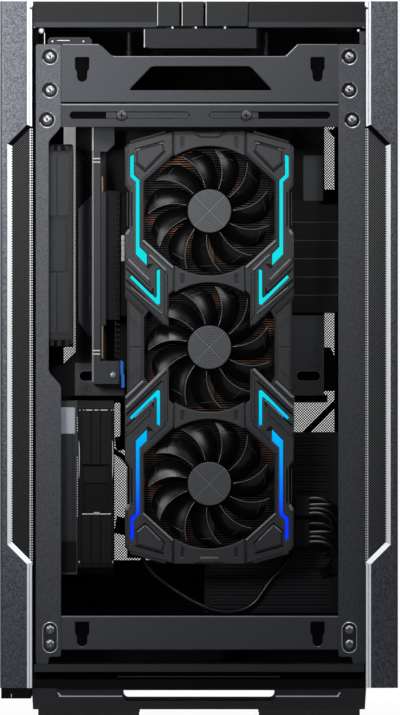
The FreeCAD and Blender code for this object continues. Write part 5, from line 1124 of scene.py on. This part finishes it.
    @staticmethod
    def blade_point(start: float, s: float, t: float, z: float) -> tuple[Vector, float]:
        """Finds a point of a blade's near face.

        Args:
            start: angle of its leading edge at the root.
            s: share of the way from root to tip.
            t: share of the way from leading to trailing edge.
            z: height of the wheel's middle.
        Returns:
            The point and the blade's thickness there.
        """
        root, span, sweep, bow = 14.0, 28.3, 17.5, 2.0
        broad, taper, tip = 27.0, 5.5, 5.0
        front, drop, camber = -60.0, 10.4, 1.9
        radius = root + span * s
        lead = start + math.radians(sweep * s ** 1.3 - bow * math.sin(math.pi * s))
        width = math.radians(broad - taper * s - tip * max(0.0, s - 0.86) / 0.14)
        angle = lead - width * t
        depth = front + drop * t ** 0.9 - camber * math.sin(math.pi * t) * (0.4 + 0.6 * s)
        thick = 0.8 * math.sin(math.pi * min(1.0, t * 0.85 + 0.15)) + 0.25
        return Vector((CARD_X + radius * math.cos(angle), depth, z + radius * math.sin(angle))), thick

    def wheel(self, node: str, z: float) -> None:
        """Builds a fan wheel with swept, cambered blades, painted highlights along their leading edges and a
        brushed cap.

        Args:
            node: its CAD node and body.
            z: height of its middle.
        """
        mold, edges, fences = Mold(), Mold(), Mold()
        rows, cols = 12, 8

        def face(*corners: tuple[int, int, int]) -> None:
            mold.mesh.faces.new([verts[corner] for corner in corners])

        for blade in range(BLADES):
            start = math.radians(1.5 + blade * 360.0 / BLADES)
            verts = {}
            for i in range(rows + 1):
                for j in range(cols + 1):
                    near, thick = self.blade_point(start, i / rows, j / cols, z)
                    verts[i, j, 0] = mold.mesh.verts.new(near)
                    verts[i, j, 1] = mold.mesh.verts.new(near + Vector((0, thick, 0)))
            for i in range(rows):
                for j in range(cols):
                    for k in (0, 1):
                        face((i, j, k), (i + 1, j, k), (i + 1, j + 1, k), (i, j + 1, k))
                for j in (0, cols):
                    face((i, j, 0), (i + 1, j, 0), (i + 1, j, 1), (i, j, 1))
            for j in range(cols):
                for i in (0, rows):
                    face((i, j, 0), (i, j + 1, 0), (i, j + 1, 1), (i, j, 1))
            # A thin pale tube along each leading edge: painted highlight.
            lead = [self.blade_point(start, s / 12, 0.0, z)[0] - Vector((0, 0.1, 0)) for s in range(1, 13)]
            edges.tube(lead, 0.2, 6, 2)
            # The fences are real ridges, drawn lighter than the blades as painted highlight.
            for s, first, last in ((0.83, 0.08, 0.75), (0.3, 0.02, 0.22)):
                spots = [(s + 0.04 * t, first + (last - first) * t) for t in (0, 0.25, 0.5, 0.75, 1)]
                fence = [self.blade_point(start, *spot, z)[0] - Vector((0, 0.2, 0)) for spot in spots]
                fences.tube(fence, 0.26, 6, 2)
        mold.lathe([(0, 0), (15.3, 0), (15.3, 12.4), (14.9, 13.0), (0, 13.0)], (CARD_X, -47.0, z), 56)
        mold.cast(node + "_blades", BLADE, node, [node], smooth=40)
        edges.cast(node + "_edge_highlights", BLADE_EDGE_HIGHLIGHT, node, smooth=60)
        fences.cast(node + "_fences", FENCE, node, smooth=60)
        cap = Mold().lathe([(0, 0), (14.9, 0), (14.9, 0.25), (14.6, 0.4), (0, 0.4)], (CARD_X, -60.1, z), 64)
        cap.cast(node + "_cap", SCREW, node, material=self.cap_material(node, z))

    @staticmethod
    def cap_material(node: str, z: float) -> bpy.types.Material:
        """Makes the cap's brushed chevrons, centred on its wheel.

        Args:
            node: the wheel's node.
            z: height of its middle.
        Returns:
            The material.
        """
        made, graph = Graph.fresh(node + "_brushed")
        shader = graph.shader({"Metallic": 0.3, "Roughness": 0.45})
        coords, split = graph.add("TexCoord"), graph.add("SeparateXYZ")
        graph.link(coords, "Object", split, 0)
        apart = graph.add("Math", operation="SUBTRACT")
        for k, (axis, middle) in enumerate((("X", CARD_X * MM), ("Z", z * MM))):
            move = graph.add("Math", {1: middle}, "SUBTRACT")
            size = graph.add("Math", operation="ABSOLUTE")
            graph.link(split, axis, move, 0)
            graph.link(move, 0, size, 0)
            graph.link(size, 0, apart, k)
        size = graph.add("Math", operation="ABSOLUTE")
        wave = graph.add("Math", {1: 2 * math.pi / (1.85 * MM)}, "MULTIPLY")
        sine = graph.add("Math", operation="SINE")
        span = graph.add("MapRange", {"From Min": -1.0})
        ramp = graph.ramp((0.0, (0.008, 0.009, 0.01)), (1.0, (0.16, 0.166, 0.182)))
        for start, end in ((apart, size), (size, wave), (wave, sine)):
            graph.link(start, 0, end, 0)
        graph.link(sine, 0, span, "Value")
        graph.link(span, "Result", ramp, "Fac")
        graph.link(ramp, "Color", shader, "Base Color")
        return made


@dataclass
class Inside(Assembly):
    """Board tray, cooling, power supply, riser and leads."""

    def build(self) -> None:
        self.dress(JET, "memory_modules", "riser_plug", "riser_socket", "pump_block", "motherboard_tray",
                   "psu_bracket", "radiator_fan_frame")
        self.dress(BLACK, "intake_fan_frame", "psu_case")
        self.dress(BLADE, "intake_fan_rotor", "radiator_fan_rotor")
        self.dress(INNER_STEEL, "riser_bracket")
        self.dress(DARK_STEEL, "radiator")
        self.dress(BOARD, "motherboard")
        self.dress(CABLE, "radiator_hoses", "power_leads")
        self.dress(RIBBON, "riser_ribbon")
        self.fans()
        self.radiator()
        self.tray()
        self.riser()
        self.power_supply()
        self.wires()
        self.lead()

    def fans(self) -> None:
        """Builds the stepped sides of the two fan frames, with painted highlights and bright dots on them."""
        side, dark, pale = Mold(), Mold(), Mold()
        for z in ((344.4, 386.6), (263.7, 305.0)):
            for x in ((-111.0, -98.1), (-97.8, -89.3)):
                side.box(x, (-70.4, -69.6), z, 0.3)
        for z in (254.6, 388.0):
            for x in (-103.0, -98.0, -92.5):
                dark.box((x, x + 3.2), (-70.2, -69.6), (z, z + 5.0), 0.3)
        dark.box((-89.2, -86.8), (-69.9, -69.0), (256.0, 392.0), 0.1)
        for z in ((172.9, 209.6), (104.6, 138.6)):
            for x in ((-80.7, -74.6), (-74.3, -68.1), (-67.8, -60.4)):
                dark.box(x, (-60.4, -59.6), z, 0.25)
        side.box((-111.0, -89.3), (-68.2, -67.2), (306.0, 343.6), 0.3)
        dark.box((-80.5, -60.6), (-58.4, -57.2), (160.0, 172.0), 0.3)
        side.cast("fan_frame_sides", FAN_SIDE)
        dark.cast("fan_frame_blocks", FAN_DARK)
        # Pale strips and curls on the frame faces: painted highlights.
        face = (-60.5, -59.9)
        pale.box((-80.5, -60.7), face, (138.5, 139.2), 0.1)
        pale.box((-72.6, -68.6), (-60.6, -59.9), (138.9, 140.2), 0.1)
        for x in ((-82.6, -81.8), (-80.0, -79.2), (-78.0, -73.5), (-72.2, -69.2), (-68.0, -63.0),
                  (-60.8, -60.0), (-59.2, -58.4)):
            pale.box(x, face, (210.2, 210.9), 0.1)
        curl = [(-0.4, 163.0), (0.1, 166.0), (0.45, 178.0), (0.1, 188.0), (-0.4, 190.0), (-0.2, 178.0)]
        for x in (-82.6, -59.5):
            pale.prism(shifted(curl, x, 0), face)
            pale.box((x - 0.4, x + 0.4), face, (104.9, 106.5))
        pale.cast("fan_frame_glints", STEEL_HIGHLIGHT)
        # Pale glowing dots beside the fan frames: painted highlights.
        dots = Mold()
        for start, count in ((137.2, 24), (196.0, 6)):
            for k in range(count):
                z = start + k * 1.75
                dots.box((-84.2, -83.6), (-61.0, -60.4), (z, z + 0.8), 0)
        dots.cast("fan_gap_dots", HIGHLIGHT_TICK)

    def radiator(self) -> None:
        """Builds the radiator's end blocks and its side sheet: the upper block pale, partly as painted light,
        and the lower one black as painted shade.
        """
        # The upper end block is drawn pale: partly painted light.
        Mold().box((-111.5, -85.4), (-60.5, -59.8), (194.1, 212.4), 0.4).cast("radiator_block", ALU_LIT)
        sheet = Mold().box((-111.5, -85.4), (-60.3, -59.8), (120.5, 193.9), 0.3)
        sheet.box((-87.4, -85.6), (-60.6, -60.2), (121.0, 193.5), 0.3)
        sheet.cast("radiator_sheet", FAN_SIDE)
        # The lower end block is drawn black: painted shade.
        Mold().box((-111.5, -84.6), (-60.5, -59.8), (99.0, 120.3), 0.3).cast("radiator_foot", JET)

    def tray(self) -> None:
        """Builds the tray's slots, screw rings, board shield and cable covers; the rings, shield and trim are
        drawn paler as painted light.
        """
        dark, grey = Mold(), Mold()
        for x in ((-83.1, -66.4), (67.5, 84.2)):
            dark.box((x[0] - 1, x[1] + 1), (5.3, 5.8), (229.0, 239.0), 0)
        dark.box((-88.0, -51.0), (6.0, 7.0), (215.4, 221.0), 0)
        dark.box((66.0, 89.0), (6.0, 7.0), (215.6, 221.0), 0)
        dark.box((-54.6, -51.0), (8.0, 9.0), (189.0, 221.0), 0)
        # The slot rings take the paler shield steel: painted highlight.
        rings = Mold()
        for x, area in (((-83.1, -66.4), (-86.0, -52.0, 243.0)), ((67.5, 84.2), (60.0, 86.7, 276.0))):
            hole = obround((x[0] + 0.3, x[1] - 0.3), (230.8, 237.2))
            grey.sheet(rectangle(area[:2], (220.4, area[2])), (3.5, 4.0), [hole], 0.1)
            rings.sheet(obround((x[0] - 0.5, x[1] + 0.5), (230.0, 238.0)), (3.3, 3.6), [hole], 0.1)
        rings.cast("tray_slot_rings", SHIELD_LIT)
        eyelet = [(1.2, 0), (2.5, 0), (2.5, 0.5), (2.1, 0.8), (1.5, 0.8), (1.2, 0.5), (1.2, 0)]
        for x, z in ((-78.0, 385.0), (-76.9, 225.4), (79.9, 252.2), (78.0, 242.3), (64.0, 226.0)):
            grey.lathe(eyelet, (x, 4.0, z), 24)
        grey.box((72.2, 86.0), (3.4, 4.0), (354.0, 387.0))
        # The board shield takes a paler steel: painted light.
        shield = [(-75.2, 358.9), (-83.7, 349.7), (-83.7, 271.9), (-77.1, 261.6), (-70.0, 261.6),
                  (-70.0, 358.9)]
        plate = Mold().sheet(shield, (2.4, 3.9), edge=0.4, steps=2)
        for k in range(6):
            plate.box((-77.3, -73.9), (1.0, 2.6), (278.7 + k * 12.7, 290.2 + k * 12.7), 0.4)
        plate.cast("board_shield", SHIELD_LIT)
        # The tray trim takes a paler steel than the tray: painted light.
        grey.cast("tray_trim", TRAY_LIT)
        fold = [(86.4, 253.8), (91.2, 253.8), (96.0, 243.0), (96.0, 223.5), (86.4, 223.5)]
        dark.sheet(fold, (6.0, 12.0), edge=0.3)
        dark.box((85.9, 95.8), (6.0, 12.0), (353.2, 363.4), 0)
        dark.box((-85.0, 86.0), (2.6, 3.9), (424.0, 453.0), 0)
        dark.cast("tray_shadows", SHADE_BLACK)

    def riser(self) -> None:
        """Builds the riser's board edge, socket teeth, latch, marks and ribbon bands, with painted highlights
        on the bracket's edge and between the bands.
        """
        Mold().box((-67.4, -66.2), (-33.3, -32.9), (246.0, 372.0), 0.1).cast("riser_board_edge", BOARD_EDGE)
        Mold().box((-68.0, -64.2), (-33.9, -33.2), (269.0, 361.5), 0.3).cast("riser_socket_side", FAN_SIDE)
        teeth = Mold()
        for k in range(30):
            z = 247.0 + k * 3.7
            teeth.box((-57.4, -54.9), (-28.0, -27.0), (z, z + 1.0), 0.15)
            teeth.box((-58.2, -57.5), (-28.0, -27.0), (z, z + 3.0), 0.1)
        teeth.cast("riser_teeth", BLACK)
        # The pale marks glow a little: partly painted light.
        marks = Mold()
        for z in (384.3, 381.9, 251.6, 249.2):
            marks.box((-73.6, -68.3), (-33.4, -33.0), (z - 0.45, z + 0.45), 0.1)
        for k in range(5):
            marks.box((-53.7, -51.5), (-40.0, -36.0), (313.4 + k * 3.6, 316.8 + k * 3.6), 0.15)
        marks.cast("riser_marks", PALE)
        # Glowing strips on the bracket's left edge: painted highlights.
        for name, x, z, finish in (("tab", -72.9, (389.6, 411.6), EDGE_HIGHLIGHT),
                                   ("bar", -72.8, (230.0, 389.4), FAINT_HIGHLIGHT)):
            Mold().box((-73.9, x), (-33.2, -32.9), z, 0.1).cast(f"riser_{name}_edge", finish)
        button = [(0, 0), (2.6, 0), (2.6, 0.5), (1.9, 1.1), (0.7, 1.2), (0.6, 0.8), (0, 0.8)]
        Mold().lathe(button, (-59.3, -33.0, 234.4), 24).cast("riser_screw", SCREW)
        hook = [(-54.4, 245.0), (-52.2, 244.0), (-52.2, 236.0), (-51.4, 234.6), (-51.4, 226.0),
                (-53.8, 226.0), (-53.8, 234.0), (-54.4, 235.0)]
        # The blue latch glows a little: partly painted light.
        Mold().sheet(hook, (-30.0, -24.0), edge=0.3).cast("riser_latch", BLUE)
        # Pale strips between the bands: painted highlights.
        bands, highlight_lines = Mold(), Mold()
        for k in range(6):
            z = 277.6 + k * 12.65
            bands.box((40.0, 96.5), (-1.6, -0.1), (z, z + 12.2), 0.5, 2)
            if k:
                highlight_lines.box((60.0, 96.4), (-1.7, -0.6), (z - 0.45, z + 0.1), 0)
        bands.cast("riser_bands", RIBBON)
        highlight_lines.cast("riser_band_highlights", RIBBON_HIGHLIGHT)

    def power_supply(self) -> None:
        """Builds the fine louvres on the power supply's face."""
        # Louvres below 112 mm take the paler fan-side finish: painted light, lighter towards the bottom.
        upper, lower = Mold(), Mold()
        for k in range(52):
            z = 73.5 + k * 2.3
            (upper if z > 112 else lower).box((7.8, 91.0), (-10.5, -9.9), (z, z + 1.3), 0.15)
        upper.cast("psu_louvres", BLACK)
        lower.cast("psu_low_louvres", FAN_SIDE)

    def wires(self) -> None:
        """Builds the card's power leads as cords, and the cables far behind the card."""
        loop = ((0.0, 0.0, 0.0), (7.0, -0.4, 0.6), (18.4, 0.2, 0.2), (20.2, 8.0, -4.0), (19.4, 19.4, -6.5))
        droop = ((0.0, 0.0, 0.0), (8.0, -0.4, 1.0), (18.0, 0.0, -3.0), (20.4, 6.0, -14.0),
                 (14.0, 16.0, -22.0), (9.0, 19.6, -23.0))
        for name, z, node in (("lower", 125.6, "power_leads"), ("upper", 144.55, "")):
            route = [(76.0 + a, b - 29.6, z + c) for a, b, c in loop]
            self.cord(f"power_cord_{name}", route, 1.5, 0.0372, node)
        for k, z in enumerate((119.0, 122.4, 131.6, 138.8, 141.8, 149.0)):
            y, reach = -31.8 + k % 3 * 2.2, 1.0 - k % 2 * 0.14
            route = [(76.0 + a * reach, y + b, z + c) for a, b, c in droop]
            self.cord(f"power_cord_{k}", route, 1.4, 0.0495)
        # Cables far behind the card, drawn near black: partly their own colour, partly painted shade.
        loose = Mold()
        loose.tube([(73.0, 62.0, 193.0), (84.0, 62.0, 204.0), (97.0, 62.0, 217.2)], 1.8)
        loose.tube([(-60.0, 50.0, 182.0), (-52.0, 50.0, 176.0), (-30.0, 50.0, 150.0)], 1.6)
        loose.tube([(-58.0, 46.0, 186.5), (-45.0, 46.0, 188.0), (-5.0, 50.0, 186.0)], 5.0)
        loose.tube([(-58.0, 46.0, 130.5), (-45.0, 46.0, 129.0), (2.0, 40.0, 131.0)], 6.0)
        loose.cast("loose_cables", SHADE_BLACK, smooth=60)

    def lead(self) -> None:
        """Builds the lighting lead, which hangs in a loose bow below the card."""
        route = ((64.0, 118.0), (64.0, 107.0), (48.5, 92.0), (37.0, 73.0), (14.0, 69.5), (-12.0, 81.5),
                 (-41.0, 104.0), (-41.0, 118.0))
        self.cord("lighting_cord", [(x, -15.0, z) for x, z in route], 1.6, 0.1493, "lighting_lead")

    @staticmethod
    def cord(name: str, route: Sequence[Place], radius: float, length: float, node: str = "") -> None:
        """Args:
            name: its name.
            route: its control points.
            radius: its radius.
            length: its real length, in metres; not used.
            node: the CAD node that it stands for, if any.
        """
        curve = bpy.data.curves.new(name, "CURVE")
        curve.dimensions = "3D"
        curve.bevel_depth = radius * MM
        curve.bevel_resolution = 4
        curve.use_fill_caps = True
        spline = curve.splines.new("NURBS")
        spline.points.add(len(route) - 1)
        for point, place in zip(spline.points, route):
            point.co = (*(value * MM for value in place), 1)
        spline.order_u = 3
        spline.use_endpoint_u = True
        spline.resolution_u = 12
        curve.materials.append(CABLE.material())
        cord = bpy.data.objects.new(name, curve)
        bpy.context.scene.collection.objects.link(cord)
        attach(cord, CASE)
        if node:
            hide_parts(node)


@dataclass
class Base(Assembly):
    """Plinth and feet."""

    def build(self) -> None:
        self.dress(STAND, "base_stand")
        # The stand's faces above 26.2 mm are drawn near black: painted shade.
        self.paint(self.nodes["base_stand"], SHADE_BLACK, lambda face: face.center.z > 0.0262)
        self.dress(RUBBER, "rubber_feet")
        # A glowing strip along the stand's lip and the end cap's edge: painted highlight.
        lip, face = Mold(), (-80.25, -79.4)
        for sx in (-1, 1):
            lip.box((sx * 52.9, sx * 96.4), face, (13.1, 13.9), 0)
            lip.prism([(sx * 95.6, 13.1), (sx * 97.6, 15.9), (sx * 96.8, 16.3), (sx * 94.8, 13.9)], face)
        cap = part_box("front_end_cap")[0]
        lip.box((-129.4, -128.9), (cap[1] / MM - 0.1, cap[1] / MM + 0.4), (12.6, 15.2), 0)
        lip.cast("stand_lip", EDGE_HIGHLIGHT)
        shade = Mold().box((-115.3, 115.3), (-80.2, -79.7), (18.9, 24.7), 0.1)
        shade.box((-115.4, 115.4), (-76.0, 76.0), (24.7, 30.2), 0)
        shade.cast("stand_shade", JET)
        sill = Mold()
        for z in (27.0, 23.6):
            sill.box((-56.0, 56.0), (-78.3, -77.4), (z - 0.35, z + 0.35), 0.1)
        sill.cast("stand_sills", LOW_STEEL)


@dataclass
class Studio:
    """Camera, lights and backdrop.

    Args:
        distance: from the camera to the middle of the case, in metres.
        face: from there to the case's near face.
        height: how much of that face the picture's longer side takes in.
        aim: the middle of the picture along X and Z, in metres.
        sensor: the camera's sensor, in millimetres.
    """

    distance: float = 12.5
    face: float = 0.085
    height: float = 0.4922
    aim: Point2 = (0.0007, 0.2468)
    sensor: float = 36

    def build(self) -> None:
        """Sets the long lens camera, the lights, the floor and the white backdrop."""
        scene = bpy.context.scene
        scene.view_settings.view_transform = "Standard"
        scene.view_settings.look = "None"
        camera = bpy.data.cameras.new("camera")
        camera.lens = self.sensor * (self.distance - self.face) / self.height
        camera.sensor_width = self.sensor
        camera.clip_end = 100
        view = bpy.data.objects.new("camera", camera)
        view.location = (self.aim[0], -self.distance, self.aim[1])
        view.rotation_euler = (math.pi / 2, 0, 0)
        scene.collection.objects.link(view)
        scene.camera = view
        self.spot("key", (-0.899, -1.561, 0.469), (-0.21, -0.08, 0.495), 12.6, 68.0)
        self.spot("upper", (0.262, -1.431, 0.722), (-0.35, -0.08, 0.581), 47.5, 39.5)
        self.spot("wide", (-0.341, -1.102, 0.428), (-0.194, -0.08, 0.447), 66.3, 11.0)
        self.lamp("edge", (-0.05, -0.17, 1.0), 0.3, 2.0, (0.0, -0.08, 0.2))
        for name, place, size, power in (("top", (-0.05, -0.75, 1.15), 0.8, 6.5),
                                         ("right", (0.85, -0.75, 0.75), 0.6, 4.5),
                                         ("left", (-0.85, -0.75, 0.8), 0.6, 4.0)):
            self.lamp(f"sheen_{name}", place, size, power, (0.0, -0.06, 0.25), gloss_only=True)
        for name, x in (("left", -1.3), ("right", 1.3)):
            self.lamp(f"rear_{name}", (x, 1.1, 0.9), 0.8, 20.0, (0.0, 0.05, 0.25))
        self.floor()
        self.backdrop()

    @staticmethod
    def hang(light: bpy.types.Light, place: Place, aim: Place) -> Piece:
        """Puts a light in its place.

        Args:
            light: the light.
            place: where it stands, in metres.
            aim: the point it faces.
        Returns:
            The lamp.
        """
        lamp = bpy.data.objects.new(light.name, light)
        lamp.location = place
        lamp.rotation_euler = (Vector(aim) - Vector(place)).to_track_quat("-Z", "Y").to_euler()
        bpy.context.scene.collection.objects.link(lamp)
        return lamp

    def lamp(self, name: str, place: Place, size: float, power: float, aim: Place,
             gloss_only: bool = False) -> None:
        """Adds an area light.

        Args:
            name: its name.
            place: where it stands, in metres.
            size: the side of its square, in metres.
            power: its watts.
            aim: the point it faces.
            gloss_only: whether it shows only in reflections.
        """
        light = bpy.data.lights.new(name, "AREA")
        light.size = size
        light.energy = power
        self.hang(light, place, aim).visible_diffuse = not gloss_only

    def spot(self, name: str, place: Place, aim: Place, angle: float, power: float) -> None:
        """Adds a soft-edged spot light.

        Args:
            name: its name.
            place: where it stands, in metres.
            aim: the point it faces.
            angle: its full cone, in degrees.
            power: its watts.
        """
        light = bpy.data.lights.new(name, "SPOT")
        light.spot_size = math.radians(angle)
        light.spot_blend = 1.0
        light.shadow_soft_size = 0.12
        light.energy = power
        self.hang(light, place, aim)

    @staticmethod
    def floor() -> None:
        """Lays a plain pale floor, near white to the eye."""
        draft = bmesh.new()
        bmesh.ops.create_circle(draft, cap_ends=True, radius=0.45, segments=96)
        data = bpy.data.meshes.new("floor")
        draft.to_mesh(data)
        draft.free()
        made, graph = Graph.fresh("pale_floor")
        graph.tree.nodes.clear()
        path = graph.add("LightPath")
        share = graph.add("Math", {1: 0.97}, "MULTIPLY")
        plain = graph.add("BsdfDiffuse", {"Color": (0.4, 0.4, 0.41, 1)})
        white, mix, out = graph.add("Emission"), graph.add("MixShader"), graph.add("OutputMaterial")
        graph.link(path, "Is Camera Ray", share, 0)
        for k, part in enumerate((share, plain, white)):
            graph.link(part, 0, mix, k)
        graph.link(mix, 0, out, 0)
        data.materials.append(made)
        disc = bpy.data.objects.new("floor", data)
        disc.location.z = -0.0003
        bpy.context.scene.collection.objects.link(disc)

    @staticmethod
    def backdrop() -> None:
        """Makes the backdrop white to the eye and dim as a light."""
        world = bpy.data.worlds.new("backdrop")
        bpy.context.scene.world = world
        world.use_nodes = True
        graph = Graph(world.node_tree)
        graph.tree.nodes.clear()
        path = graph.add("LightPath")
        seen = graph.add("Background", {"Color": (1, 1, 1, 1), "Strength": 1.0})
        dim = graph.add("Background", {"Color": (0.8, 0.85, 1.0, 1), "Strength": 0.07})
        mix, out = graph.add("MixShader"), graph.add("OutputWorld")
        graph.link(path, "Is Camera Ray", mix, 0)
        graph.link(dim, 0, mix, 1)
        graph.link(seen, 0, mix, 2)
        graph.link(mix, 0, out, 0)


def main() -> None:
    """Builds every group, logs each one's name once built and closes the scene."""
    logging.basicConfig(level=logging.INFO)
    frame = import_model()
    nodes = frame["nodes"]
    for group in (Skin, SteelFrame, Controls, GraphicsCard, Inside, Base):
        group(nodes).build()
        LOG.info("built %s", group.__name__)
    Studio().build()


if __name__ == "__main__":
    main()
